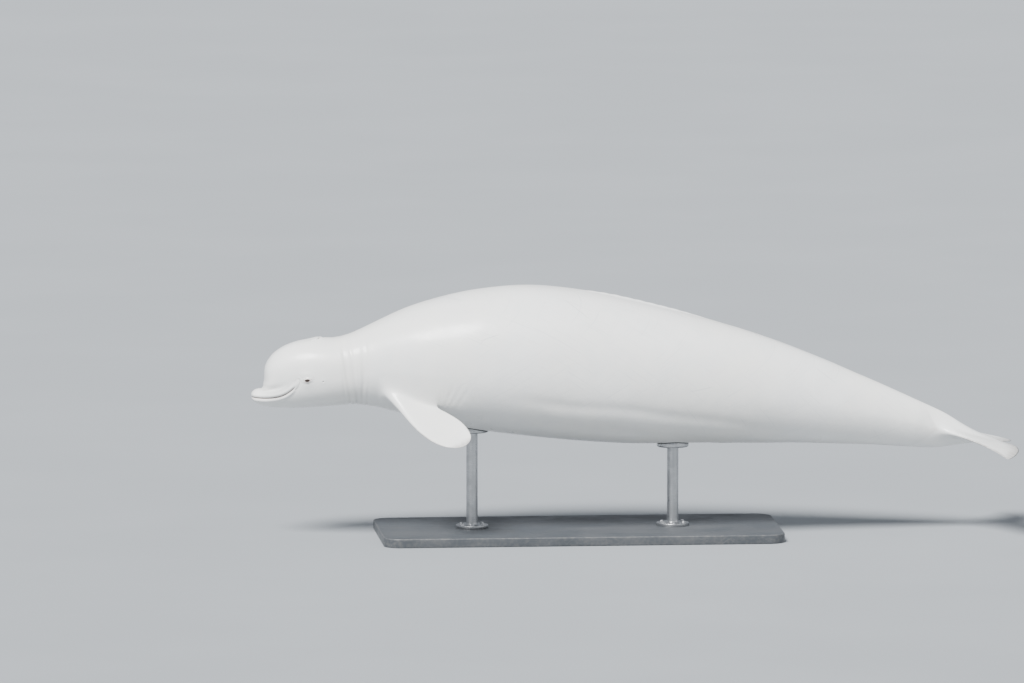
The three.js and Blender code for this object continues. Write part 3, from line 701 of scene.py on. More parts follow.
class Patch:
    """A block of the skin's grid that gives way to finer skin on rings round a feature."""

    def __init__(self, station, turn, columns, rows, mirrored=False):
        """So many columns and rows to each side of a place. A mirrored block is on the left side."""
        column = int(np.argmin(np.abs(RINGS - station)))
        turns = turn_at(np.full(POINTS_ROUND, float(station)), np.arange(POINTS_ROUND) / POINTS_ROUND)
        row = int(np.argmin(np.abs(turns - turn)))
        self.first, self.last = column - columns, column + columns
        self.low, self.high = row - rows, row + rows
        self.corners = 4 * (columns + rows)
        self.mirrored = mirrored

    def holds(self, grid):
        across = 1 - grid[:, 1] if self.mirrored else grid[:, 1]
        column, row = grid[:, 0] * (len(RINGS) - 1), across * POINTS_ROUND
        return (column > self.first) & (column < self.last) & (row > self.low) & (row < self.high)

    def rim(self):
        """Grid places round the block: up its rear side, forwards, down and back."""
        places = [(self.last, row) for row in range(self.low, self.high)]
        places += [(column, self.high) for column in range(self.last, self.first, -1)]
        places += [(self.first, row) for row in range(self.high, self.low, -1)]
        places += [(column, self.low) for column in range(self.first, self.last)]
        rim = np.array(places) / (len(RINGS) - 1, POINTS_ROUND)
        if self.mirrored:
            rim[:, 1] = 1 - rim[:, 1]
        return rim

    def angle(self, corner):
        """The way round from the middle of the rear side, over the top."""
        return 2 * math.pi * (corner - (self.high - self.low) / 2) / self.corners

    def add(self, bm, rings, shape, to_flat, to_place):
        """Adds rings at the shape's flat places. Their last unit opens out to the block's rim."""
        rim = to_flat(smooth_points(*grid_places(self.rim())))
        verts = add_grid(bm, len(rings) - 1, self.corners)
        grid = coordinates(verts)
        ring = np.interp(grid[:, 0] * (len(rings) - 1), np.arange(len(rings)), rings)
        corner = np.rint(grid[:, 1] * self.corners).astype(int)
        opening = np.clip(ring - rings[-1] + 1, 0, 1)[:, None]
        inner = shape(np.minimum(ring, rings[-1] - 1), self.angle(corner))
        flat = inner + (rim[corner % self.corners] - inner) * opening
        place(bm, verts, *skin_points(*to_place(flat)))


# Flippers, along their own axes from root to tip
FLIPPER_STATION, FLIPPER_ROOT_TURN, FLIPPER_LENGTH = 792, math.radians(-36), 480
FLIPPER_DROOP, FLIPPER_SWEEP, FLIPPER_TWIST = math.radians(44), math.radians(38), math.radians(8)
FLIPPER_THICK, FLIPPER_TIP_THICK, FLIPPER_CURL, FLIPPER_CUP = 31, 3.5, 46, 10
# Share of the length, leading edge and trailing edge. The square root of what is left rounds the tip.
FLIPPER_OUTLINE = [
    (1, -30, -30),
    (0.985, 12, -70),
    (0.94, 48, -100),
    (0.82, 83, -131),
    (0.64, 101, -142),
    (0.42, 98, -118),
    (0.2, 82, -84),
    (0, 70, -66),
    (-0.3, 66, -62),
]
lead_of, trail_of = (by_root(FLIPPER_OUTLINE, column, 1) for column in (1, 2))
# Exponents of the thinning and of the curl, the shares where the tip starts to round off and that it
# takes up, and the half chord from which the flipper is fully cupped
FLIPPER_THINNING, FLIPPER_CURLING, TIP_FROM, TIP_SHARE, CUPPED_FROM = 0.75, 2.2, 0.9, 0.1, 70


def flipper_frame(side):
    """The root, and the axis, blade and face directions of a flipper."""
    outwards = np.array([0, side * math.cos(FLIPPER_DROOP), -math.sin(FLIPPER_DROOP)])
    flat = np.array([0, side * math.sin(FLIPPER_DROOP), math.cos(FLIPPER_DROOP)])
    back = np.array([1.0, 0, 0])
    axis = outwards * math.cos(FLIPPER_SWEEP) + back * math.sin(FLIPPER_SWEEP)
    chord = outwards * math.sin(FLIPPER_SWEEP) - back * math.cos(FLIPPER_SWEEP)
    blade = chord * math.cos(FLIPPER_TWIST) + flat * math.sin(FLIPPER_TWIST)
    face = flat * math.cos(FLIPPER_TWIST) - chord * math.sin(FLIPPER_TWIST)
    turn = FLIPPER_ROOT_TURN if side > 0 else math.pi - FLIPPER_ROOT_TURN
    root = smooth_points(np.array([float(FLIPPER_STATION)]), np.array([turn]))[0]
    return root, axis, blade, face


def flipper_section(share):
    """Middle, half chord, half thickness, curl and cup of the flipper's section."""
    left = np.sqrt(np.maximum(1 - share, 0))
    lead, trail = lead_of(left), trail_of(left)
    out = np.maximum(share, 0)
    thick = FLIPPER_THICK + (FLIPPER_TIP_THICK - FLIPPER_THICK) * np.minimum(1, out**FLIPPER_THINNING)
    past = np.maximum(0, share - TIP_FROM) / TIP_SHARE
    rounded = 0.3 + 0.7 * np.sqrt(np.clip(1 - past**2, 0, 1))
    half = (lead - trail) / 2
    cup = FLIPPER_CUP * out * np.clip(half / CUPPED_FROM, 0, 1) ** 2
    return (lead + trail) / 2, half, thick * rounded, FLIPPER_CURL * out**FLIPPER_CURLING, cup


def flipper_points(share, angle, side):
    root, axis, blade, face = flipper_frame(side)
    middle, half, thick, curl, cup = flipper_section(share)
    across = np.cos(angle)
    lift = thick * np.sin(angle) * (1 + 0.3 * across) + curl + cup * across**2
    along = root + np.outer(share * FLIPPER_LENGTH, axis)
    return along + np.outer(middle + half * across, blade) + np.outer(lift, face)


def clearance(points):
    """Roughly how far points of the straight whale lie outside the smooth body."""
    station = points[:, 0]
    middle = widest_at(station)
    rise = np.where(points[:, 2] > middle, top_at(station) - middle, middle - bottom_at(station))
    width = half_width_at(station)
    power = roundness_at(station)
    level = np.abs(points[:, 1] / width) ** power + np.abs((points[:, 2] - middle) / rise) ** power
    return (level ** (1 / power) - 1) * np.minimum(width, rise)


# Rings from a flipper's tip to its root, which stands clear of the body, and on over the skin.
# The last few before the root are smoothed with the fillet, and the rings crowd towards the tip.
FLIPPER_RINGS, ROOT_CLEARANCE, FILLET_RINGS, SOFT_RINGS, TIP_CROWD = 42, 12, 7, 5, 0.6
# Shares of the length between which the root is searched, and how often they are halved
ROOT_LOW, ROOT_HIGH, HALVINGS = -0.4, 0.7, 30


def flipper_root(angle, side):
    """The shares of the length at which the lines along a flipper leave the body."""
    low, high = np.full(len(angle), ROOT_LOW), np.full(len(angle), ROOT_HIGH)
    for _ in range(HALVINGS):
        middle = (low + high) / 2
        outside = clearance(flipper_points(middle, angle, side)) > ROOT_CLEARANCE
        low, high = np.where(outside, low, middle), np.where(outside, middle, high)
    return high


def add_flipper(bm, patch, side):
    """A flipper, and a fillet from its root over the skin to the rim of its block."""
    rim = smooth_points(*grid_places(patch.rim()))[:, [0, 2]]
    verts = add_grid(bm, FLIPPER_RINGS + FILLET_RINGS, len(rim))
    grid = coordinates(verts)
    past_root = np.rint(grid[:, 0] * (FLIPPER_RINGS + FILLET_RINGS)) - FLIPPER_RINGS
    corner = np.rint(grid[:, 1] * len(rim)).astype(int)
    angle = math.pi - patch.angle(corner)
    root = flipper_root(angle, side)
    left = 1 + np.minimum(past_root, 0) / FLIPPER_RINGS
    share = 1 - (1 - root) * left**2 * (1 + TIP_CROWD - TIP_CROWD * left)
    points = flipper_points(share, angle, side)
    at_tip = past_root == -FLIPPER_RINGS
    points[at_tip] = points[at_tip].mean(axis=0)
    marks = np.zeros((len(points), 3))
    edge = smoothstep(np.abs(np.cos(angle)), 0.93, 1) * smoothstep(share, 0.25, 0.6)
    marks[:, 1] = np.maximum(edge, smoothstep(share, 0.9, 1))
    over = past_root > 0
    spread = (past_root / FILLET_RINGS)[over]
    sunk = points[over] - ROOT_CLEARANCE * outward(*place_on_side(*points[over][:, [0, 2]].T, side))
    view = sunk[:, [0, 2]] + (rim[corner[over] % len(rim)] - sunk[:, [0, 2]]) * spread[:, None]
    places = place_on_side(*view.T, side)
    on_skin, marks[over] = skin_points(*places)
    points[over] = on_skin + outward(*places) * (ROOT_CLEARANCE * (1 - spread) ** 2)[:, None]
    place(bm, verts, points, marks)
    soft = bm.verts.layers.float["soft"]
    for vert, rings in zip(verts, past_root):
        vert[soft] = float(-SOFT_RINGS < rings < FILLET_RINGS)


# Rings of the patches round the eyes, in lid openings, and round the blowhole, in millimetres
LID_RINGS = steps_along([(0, 0.8, 4, 1), (0.8, 1.1, 16, 1), (1.1, 2.7, 28, 1), (2.7, 3.7, 8, 1)])
SLIT_RINGS = steps_along([(0, 6, 10, 1), (6, 12, 5, 1), (12, 13, 10, 1)])
# Blocks of the grid that the patches take up: station, turn on the right side, columns and rows
EYE_BLOCK = (EYE_STATION, turn_of_height(EYE_STATION, EYE_HEIGHT, 1), 14, 10)
ROOT_BLOCK = (FLIPPER_STATION + 34, FLIPPER_ROOT_TURN, 17, 11)
SLIT_BLOCK = (BLOWHOLE_STATION - 28, math.pi / 2, 17, 5)


def add_lids(bm, patch, side):
    surface, _, back, up = EYES[side]
    axes = np.stack([back, up], axis=1)

    def shape(ring, angle):
        a = LID_REACH * ring * signed_power(np.cos(angle), 2 / LID_POWER)
        b = LID_OPEN * ring * signed_power(np.sin(angle), 2 / LID_POWER)
        return np.stack([a, b], axis=1)

    def to_flat(points):
        return (points - surface) @ axes

    def to_place(flat):
        """Finds the place of the side view step by step."""
        view = flat + (EYE_STATION, EYE_HEIGHT)
        for _ in range(8):
            here, behind, above = (
                to_flat(smooth_points(*place_on_side(*(view + step).T, side)))
                for step in ((0, 0), (1, 0), (0, 1))
            )
            steps = np.stack([behind - here, above - here], axis=2)
            view = view + np.linalg.solve(steps, (flat - here)[:, :, None])[:, :, 0]
        return place_on_side(*view.T, side)

    patch.add(bm, LID_RINGS, shape, to_flat, to_place)


def add_slit(bm, patch):
    origin = np.array([BLOWHOLE_STATION, BLOWHOLE_SHIFT])

    def shape(distance, angle):
        across = -np.sin(angle) * (BLOWHOLE_REACH + distance)
        behind = np.cos(angle) * distance - BLOWHOLE_SAG * (across / BLOWHOLE_REACH) ** 2
        return np.stack([behind, across], axis=1)

    def to_flat(points):
        return points[:, :2] - origin

    def to_place(flat):
        return place_on_top(*(flat + origin).T)

    patch.add(bm, SLIT_RINGS, shape, to_flat, to_place)


# Half widths of what needs smaller faces: along the mouth, the ridge and the belly, and round an ear
MOUTH_STRIP, RIDGE_STRIP, BELLY_STRIP, EAR_SPOT = 9, 46, 38, 9


def fine_areas(station, points):
    """Masks of the places that need smaller faces, each with its number of cuts."""
    side, height = np.abs(points[:, 1]), points[:, 2]
    above = (height > 0) & (side < RIDGE_STRIP)
    belly = (height < 0) & (side < BELLY_STRIP)
    from_mouth = np.abs(height - mouth_height(station))
    from_ear = np.hypot(points[:, 0] - EAR_STATION, height - EAR_HEIGHT)

    def between(low, high):
        return (station > low) & (station < high)

    return [
        ((from_mouth < MOUTH_STRIP) & between(1, MOUTH_CORNER + 18), 1),
        (above & between(RIDGE_FROM - 30, RIDGE_TO + 30), 2),
        (belly & between(NAVEL_STATION - 30, NAVEL_STATION + 30), 2),
        (belly & between(SLIT_STATIONS[0] - 25, VENT_STATION + 20), 2),
        (between(1010, 1170) & (np.abs(height - ROOT_HEIGHT) < WRINKLE_REACH + 20), 1),
        (from_ear < EAR_SPOT, 3),
    ]


def chosen_faces(bm, mask):
    return [face for face, wanted in zip(bm.faces, mask) if wanted]


# Smoothing passes at the flippers' roots, and the lengths below which points and edges are merged
SOFTENING, SAME_POINT, TINY_EDGE = 14, 0.02, 0.005


def soften(bm):
    """Smooths the skin where the flippers grow from it."""
    layer = bm.verts.layers.float["soft"]
    soft = [vert for vert in bm.verts if vert[layer]]
    for _ in range(SOFTENING):
        bmesh.ops.smooth_vert(bm, verts=soft, factor=0.5, use_axis_x=True, use_axis_y=True, use_axis_z=True)
    bm.verts.layers.float.remove(layer)


def whale_mesh():
    """The skin of the whole straight whale as one closed bmesh."""
    bm = bmesh.new()
    bm.verts.layers.float_vector.new("marks")
    bm.verts.layers.float.new("soft")
    add_grid(bm, len(RINGS) - 1, POINTS_ROUND)
    slit = Patch(*SLIT_BLOCK)
    lids, flipper_roots = (
        {side: Patch(*block, mirrored=side < 0) for side in SIDES.values()}
        for block in (EYE_BLOCK, ROOT_BLOCK)
    )
    for patch in (slit, *lids.values(), *flipper_roots.values()):
        hidden = chosen_faces(bm, patch.holds(centres_of(bm.faces)))
        bmesh.ops.delete(bm, geom=hidden, context="FACES")
    station, turn = grid_places(centres_of(bm.faces))
    areas = fine_areas(station, smooth_points(station, turn))
    for faces, cuts in [(chosen_faces(bm, mask), cuts) for mask, cuts in areas]:
        edges = list({edge for face in faces if face.is_valid for edge in face.edges})
        bmesh.ops.subdivide_edges(bm, edges=edges, cuts=cuts, use_grid_fill=True)
    place(bm, bm.verts, *skin_points(*grid_places(coordinates(bm.verts))))
    add_slit(bm, slit)
    for side in SIDES.values():
        add_lids(bm, lids[side], side)
        add_flipper(bm, flipper_roots[side], side)
    bmesh.ops.remove_doubles(bm, verts=bm.verts, dist=SAME_POINT)
    bmesh.ops.dissolve_degenerate(bm, edges=bm.edges, dist=TINY_EDGE)
    soften(bm)
    bmesh.ops.recalc_face_normals(bm, faces=bm.faces)
    return bm


def add_object(name, data):
    obj = bpy.data.objects.new(name, data)
    bpy.context.scene.collection.objects.link(obj)
    return obj


def new_piece(name, mesh, slot, *nodes):
    """An object at the origin, riding on the still body, in place of some nodes."""
    obj = add_object(name, mesh)
    mesh.shade_smooth()
    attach(obj, "root")
    if nodes:
        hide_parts(*nodes)
    return obj


def add_vectors(mesh, name, vectors):
    attribute = mesh.attributes.new(name, "FLOAT_VECTOR", "POINT")
    attribute.data.foreach_set("vector", np.asarray(vectors, float).ravel())


def into_pose(bm, points):
    """Moves a mesh's points from their places on the straight whale into the pose, in metres."""
    for vert, point in zip(bm.verts, bend(points) * MM):
        vert.co = point


FLESH = ["head", "melon", "lower_jaw", "neck", "chest", "midbody", "loin", "tail_stock"]
FLESH += ["fluke_left", "fluke_right", "flipper_left", "flipper_right", "dorsal_ridge"]


def make_skin():
    bm = whale_mesh()
    straight = coordinates(bm.verts)
    into_pose(bm, straight)
    mesh = as_mesh(bm, "skin")
    add_vectors(mesh, "anatomy", straight * MM)
    return new_piece("skin", mesh, "skin", *FLESH)


# Where the cornea starts, as the cosine of the angle from the pupil, and how far it rises
CORNEA_COSINE, CORNEA_RISE = 0.9, 0.7


def make_eyeball(which):
    """An eyeball with a slightly raised cornea, and its own frame for the iris."""
    surface, eye_out, back, up = EYES[SIDES[which]]
    bm = bmesh.new()
    bmesh.ops.create_uvsphere(bm, u_segments=64, v_segments=40, radius=1)
    ways = coordinates(bm.verts)
    cornea = smoothstep(ways[:, 2], CORNEA_COSINE, 1)
    reach = EYE_RADIUS + CORNEA_RISE * cornea
    axes = np.stack([back, up, eye_out])
    places = surface - eye_out * EYE_SUNK + (ways * reach[:, None]) @ axes
    into_pose(bm, places)
    bmesh.ops.recalc_face_normals(bm, faces=bm.faces)
    mesh = as_mesh(bm, f"eyeball_{which}")
    add_vectors(mesh, "gaze", ways)
    return new_piece(f"eyeball_{which}", mesh, "eye", f"eye_{which}")


skin = make_skin()
eyeballs = [make_eyeball(which) for which in SIDES]

# Display stand, in millimetres. Places and outer sizes come from the solids.
BASE_CORNER, BASE_RIM, BASE_INSET = 90, 6, 3
FLANGE_RIM, FLANGE_FOOT, FLANGE_RINGS, WELD_BEAD = 3, 0.5, 3, 7
# How far inside a flange's rims a ring keeps its underside and its top flat
FLAT_UNDER, FLAT_OVER = 6, 2
PAD_RIM, LINER_THICK, LINER_STEP, PAD_GAP, LINER_GAP = 8, 3, 2, 0.4, 0.1
# Share of a pad's height that its rounded rim takes up, and a height in metres below all of the belly
PAD_RIM_SHARE, UNDER_BELLY = 0.4, 0.1
# Number of bolts, radius of their circle, and by how much each is turned further than the last
BOLTS, BOLT_CIRCLE, BOLT_TURN = 6, 62, 1.7
# Sides, radius, height and softened rim
WASHER, BOLT_HEAD = (40, 13, 1.8, 0.5), (6, 9.5, 6.5, 1.1)
TURNING_STEPS = 72
BEVEL = {"affect": "EDGES", "profile": 0.5, "material": -1}
# Bend of the surface in degrees at which an edge starts to wear, and how much more wears it fully
WEAR_FROM, WEAR_OVER = 3.5, 6


def spun(profile):
    """A bmesh turned from a profile of radii and heights round the upright axis."""
    bm = bmesh.new()
    verts = [bm.verts.new((radius, 0, height)) for radius, height in profile]
    geom = verts + [bm.edges.new(pair) for pair in zip(verts, verts[1:])]
    whole = {"cent": (0, 0, 0), "axis": (0, 0, 1), "angle": 2 * math.pi, "use_merge": True}
    bmesh.ops.spin(bm, geom=geom, steps=TURNING_STEPS, **whole)
    bmesh.ops.remove_doubles(bm, verts=bm.verts, dist=0.001)
    bmesh.ops.recalc_face_normals(bm, faces=bm.faces)
    return bm


def rounding(points=6, end=math.pi / 2):
    """Cosines and sines along a quarter round, or along part of one."""
    return [(math.cos(angle), math.sin(angle)) for angle in np.linspace(0, end, points)]


def stand_mesh(bm, name):
    """A finished stand piece's mesh in metres, with the wear of its edges.

    Wear is 0 on flats and wide curves and 1 on rims, where the surface bends outwards sharply.
    """
    bmesh.ops.scale(bm, verts=bm.verts, vec=(MM, MM, MM))
    bends = [np.mean([edge.calc_face_angle_signed(0) for edge in vert.link_edges]) for vert in bm.verts]
    wear = np.clip((np.degrees(bends) - WEAR_FROM) / WEAR_OVER, 0, 1)
    mesh = as_mesh(bm, name)
    add_vectors(mesh, "wear", np.column_stack([wear, wear, wear]))
    return mesh


def turned_piece(name, bm, slot, x, *nodes):
    """A piece turned round the axis, at its place, with what the marks of the lathe need.

    That is the way round the piece's axis, and the distance along its surface.
    """
    bmesh.ops.translate(bm, verts=bm.verts, vec=(x, 0, 0))
    mesh = stand_mesh(bm, name)
    places = np.array([vert.co for vert in mesh.vertices]) / MM - (x, 0, 0)
    radius = np.hypot(places[:, 0], places[:, 1])
    ways = places[:, :2] / np.maximum(radius, 1)[:, None]
    add_vectors(mesh, "turning", np.column_stack([ways, radius + places[:, 2]]))
    return new_piece(name, mesh, slot, *nodes)


def node_sizes(node):
    """Middle along X, outer radius, lowest and highest height of an upright round solid, in millimetres."""
    low, high = (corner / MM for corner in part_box(node))
    return (low.x + high.x) / 2, (high.x - low.x) / 2, low.z, high.z


def make_base():
    """The painted board: rounded corners, softened rims and flat faces."""
    low, high = (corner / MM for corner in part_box("stand_base"))
    bm = bmesh.new()
    bmesh.ops.create_cube(bm, size=1)
    bmesh.ops.scale(bm, verts=bm.verts, vec=high - low)
    bmesh.ops.translate(bm, verts=bm.verts, vec=(low + high) / 2)
    uprights = [edge for edge in bm.edges if abs(edge.verts[0].co.z - edge.verts[1].co.z) > 1]
    bmesh.ops.bevel(bm, geom=uprights, offset=BASE_CORNER, segments=16, **BEVEL)
    rims = [edge for edge in bm.edges if abs(edge.verts[0].co.z - edge.verts[1].co.z) < 1]
    bmesh.ops.bevel(bm, geom=rims, offset=BASE_RIM, segments=5, **BEVEL)
    flats = [face for face in bm.faces if abs(face.normal.z) > 0.999]
    bmesh.ops.inset_region(bm, faces=flats, thickness=BASE_INSET)
    bmesh.ops.recalc_face_normals(bm, faces=bm.faces)
    return new_piece("base_board", stand_mesh(bm, "base_board"), "base", "stand_base")


def make_flange(end):
    """A disc with a rounded upper edge. Its profile starts in the middle of its underside."""
    node = f"stand_flange_{end}"
    x, radius, low, high = node_sizes(node)
    inner, below = radius - FLANGE_RIM, high - FLANGE_RIM
    under = [(0, low), (radius - FLAT_UNDER, low), (radius - FLANGE_FOOT, low), (radius, low + FLANGE_FOOT)]
    edge = [(inner + FLANGE_RIM * across, below + FLANGE_RIM * up) for across, up in rounding()]
    over = [(inner * (1 - i / FLANGE_RINGS), high) for i in range(1, FLANGE_RINGS + 1)]
    bm = spun([*under, *edge, (inner - FLAT_OVER, high), *over])
    return turned_piece(f"flange_{end}", bm, "steel", x, node)


def make_rod(end):
    """A rod with a bead of weld round each end."""
    node = f"stand_rod_{end}"
    x, radius, low, high = node_sizes(node)
    bead = [(radius + WELD_BEAD * (1 - up), WELD_BEAD * (1 - across)) for across, up in rounding(7, 1.5)]
    foot = [(out, low + rise) for out, rise in bead]
    head = [(out, high - rise) for out, rise in reversed(bead)]
    shaft = [(radius, height) for height in np.linspace(low + 2 * WELD_BEAD, high - 2 * WELD_BEAD, 12)]
    bm = spun([(0, low), *foot, *shaft, *head, (0, high)])
    return turned_piece(f"rod_{end}", bm, "steel", x, node)


def add_prism(bm, low, turn, place_at, sides, radius, height, rim):
    """A bolt's head or a washer: an upright prism with its upper rim softened."""
    size = {"segments": sides, "radius1": radius, "radius2": radius, "depth": height}
    verts = bmesh.ops.create_cone(bm, cap_ends=True, **size)["verts"]
    middle = low + height / 2
    bmesh.ops.rotate(bm, verts=verts, matrix=Matrix.Rotation(turn, 3, "Z"))
    bmesh.ops.translate(bm, verts=verts, vec=(*place_at, middle))
    upper = [vert for vert in verts if vert.co.z > middle]
    edges = [edge for edge in bm.edges if edge.verts[0] in upper and edge.verts[1] in upper]
    bmesh.ops.bevel(bm, geom=edges, offset=rim, segments=3, **BEVEL)


def make_bolts(end):
    """A ring of six-sided bolts on washers, each turned another way, which hold a flange to the board."""
    x, _, _, top = node_sizes(f"stand_flange_{end}")
    bm = bmesh.new()
    for i in range(BOLTS):
        way = 2 * math.pi * (i + 0.5) / BOLTS
        place_at = (BOLT_CIRCLE * math.cos(way), BOLT_CIRCLE * math.sin(way))
        add_prism(bm, top, BOLT_TURN * i, place_at, *WASHER)
        add_prism(bm, top + WASHER[2], BOLT_TURN * i, place_at, *BOLT_HEAD)
    bmesh.ops.recalc_face_normals(bm, faces=bm.faces)
    piece = turned_piece(f"bolts_{end}", bm, "steel", x)
    piece.data.set_sharp_from_angle(angle=math.radians(35))
    return piece


def make_dished(name, slot, end, profile, under, over, *nodes):
    """A turned disc under the belly. Its profile's heights are shares: 0 on its underside, 1 on its top."""
    x = node_sizes(f"stand_pad_{end}")[0]
    bm = spun(profile)
    for vert in bm.verts:
        below = Vector(((x + vert.co.x) * MM, vert.co.y * MM, UNDER_BELLY))
        belly = BELLY.ray_cast(below, Vector((0, 0, 1)))[0].z / MM
        low, high = under(belly), over(belly)
        vert.co.z = low + vert.co.z * (high - low)
    return turned_piece(name, bm, slot, x, *nodes)


def disc_rings(radius):
    return [(radius * share, 1) for share in np.linspace(0.97, 0, 12)]


def make_pad(end):
    """A steel pad, dished to the belly, and the rubber sheet between them."""
    node = f"stand_pad_{end}"
    _, radius, foot, _ = node_sizes(node)
    sheet = LINER_THICK + PAD_GAP
    rim = [(radius - PAD_RIM * (1 - up), PAD_RIM_SHARE * (1 - across)) for across, up in rounding()]
    steel = [(0, 0), *rim, (radius, 0.9), (radius - 0.6, 0.98), *disc_rings(radius)]
    pad = make_dished(
        f"pad_{end}", "steel", end, steel, lambda belly: foot, lambda belly: belly - sheet, node
    )
    inner = radius - LINER_STEP
    rings = disc_rings(inner)
    rubber = [(out, 0) for out, _ in reversed(rings)] + [(inner, 0.2), (inner, 0.7), *rings]
    liner = make_dished(
        f"liner_{end}",
        "base",
        end,
        rubber,
        lambda belly: belly - sheet + LINER_GAP,
        lambda belly: belly - PAD_GAP,
    )
    return pad, liner


BELLY = BVHTree.FromObject(skin, bpy.context.evaluated_depsgraph_get())
ENDS = ["front", "rear"]
base_board = make_base()
flanges = [make_flange(end) for end in ENDS]
rods = [make_rod(end) for end in ENDS]
bolts = [make_bolts(end) for end in ENDS]
pads, liners = zip(*(make_pad(end) for end in ENDS))

# Camera: from the photograph's side, a little towards the head, low and far away
CAMERA_AZIMUTH, CAMERA_ELEVATION, CAMERA_DISTANCE = math.radians(-5), math.radians(7), 80
CAMERA_TARGET = Vector((-0.349, 0, 1.0254))
PIXELS_PER_METRE = 191.45
IMAGE_WIDTH = 1024
SENSOR_WIDTH = 36


def add_camera():
    data = bpy.data.cameras.new("camera")
    data.sensor_width = SENSOR_WIDTH
    data.lens = PIXELS_PER_METRE * CAMERA_DISTANCE / IMAGE_WIDTH * SENSOR_WIDTH
    data.clip_start, data.clip_end = 1, 600
    camera = add_object("camera", data)
    flat = math.cos(CAMERA_ELEVATION)
    x, y = math.sin(CAMERA_AZIMUTH) * flat, -math.cos(CAMERA_AZIMUTH) * flat
    back = Vector((x, y, math.sin(CAMERA_ELEVATION)))
    camera.location = CAMERA_TARGET + back * CAMERA_DISTANCE
    camera.rotation_euler = (-back).to_track_quat("-Z", "Y").to_euler()
    bpy.context.scene.camera = camera


add_camera()


class Graph:
    """Adds nodes to a node tree. Each call gives the new node's output."""

    def __init__(self, tree):
        self.tree = tree

    def fill(self, node, inputs):
        for name, value in inputs.items():
            if isinstance(value, bpy.types.NodeSocket):
                self.tree.links.new(value, node.inputs[name])
            else:
                node.inputs[name].default_value = value

    def add(self, kind, inputs, output=0, **settings):
        node = self.tree.nodes.new("ShaderNode" + kind)
        for name, value in settings.items():
            setattr(node, name, value)
        self.fill(node, inputs)
        return node.outputs[output]

    def math(self, operation, first, second=0.0):
        return self.add("Math", {0: first, 1: second}, operation=operation)

    def times(self, first, second):
        return self.math("MULTIPLY", first, second)

    def plus(self, first, second):
        return self.math("ADD", first, second)

    def minus(self, first, second):
        return self.math("SUBTRACT", first, second)

    def vector(self, operation, first, second=(0, 0, 0), output=0):
        return self.add("VectorMath", {0: first, 1: second}, output, operation=operation)

    def length(self, vector):
        return self.vector("LENGTH", vector, output=1)

    def along(self, vector, direction):
        return self.vector("DOT_PRODUCT", vector, direction, 1)

    def ramp(self, value, low, high, to_low=0.0, to_high=1.0):
        limits = {"Value": value, "From Min": low, "From Max": high, "To Min": to_low, "To Max": to_high}
        return self.add("MapRange", limits, interpolation_type="SMOOTHSTEP")

    def fade(self, value, low, high):
        return self.ramp(value, low, high, 1.0, 0.0)

    def coats(self, colour, *layers):
        """Lays coats over a colour, each with its mask, the share of it that shows, and its own colour."""
        for mask, share, coat in layers:
            weight = mask if share == 1 else self.times(mask, share)
            colour = self.add("Mix", {0: weight, 6: colour, 7: coat}, 2, data_type="RGBA")
        return colour

    def noise(self, vector, scale, detail=2.0):
        return self.add("TexNoise", {"Vector": vector, "Scale": scale, "Detail": detail})

    def stretched(self, vector, scale, turn=(0, 0, 0)):
        """Turned first, so that the stretch runs along slanting axes."""
        turned = self.add("Mapping", {"Vector": vector, "Rotation": turn})
        return self.add("Mapping", {"Vector": turned, "Scale": scale})

    def attribute(self, name):
        return self.add("Attribute", {}, "Vector", attribute_name=name)

    def object_place(self):
        return self.add("TexCoord", {}, "Object")

    def parts(self, vector):
        node = self.tree.nodes.new("ShaderNodeSeparateXYZ")
        self.fill(node, {0: vector})
        return node.outputs

    def place(self, group, inputs):
        node = self.tree.nodes.new("ShaderNodeGroup")
        node.node_tree = group
        self.fill(node, inputs)
        return node.outputs


def new_group(name, inputs, outputs):
    """A node group with named sockets, and the ends between which its nodes go."""
    tree = bpy.data.node_groups.new(name, "ShaderNodeTree")
    for way, sockets in (("INPUT", inputs), ("OUTPUT", outputs)):
        for socket, kind in sockets.items():
            tree.interface.new_socket(socket, in_out=way, socket_type="NodeSocket" + kind)
    given = tree.nodes.new("NodeGroupInput").outputs
    result = tree.nodes.new("NodeGroupOutput")
    return tree, Graph(tree), given, result


def make_grain():
    """Fine grain for a surface's height, and soft patches for its colour."""
    scales = {"Vector": "Vector", "Grain Scale": "Float", "Patch Scale": "Float"}
    tree, graph, given, result = new_group("fine_grain", scales, {"Height": "Float", "Patches": "Float"})
    height = graph.noise(given["Vector"], given["Grain Scale"], 3.0)
    patches = graph.ramp(graph.noise(given["Vector"], given["Patch Scale"], 5.0), 0.36, 0.66)
    graph.fill(result, {"Height": height, "Patches": patches})
    return tree


# Scratches: their two directions, the stretch of their cells and how far they sway, the noise above
# which a line shows, by how much a full amount lowers that, and how sharply a line starts
SCRATCH_TURNS, SCRATCH_STRETCH, SCRATCH_SWAY = ((0.45, -0.43, 0), (-0.5, 0.6, 0)), (3, 3, 150), 0.03
SCRATCH_LIMIT, SCRATCH_GAIN, SCRATCH_CONTRAST = 0.78, 0.12, 14.0


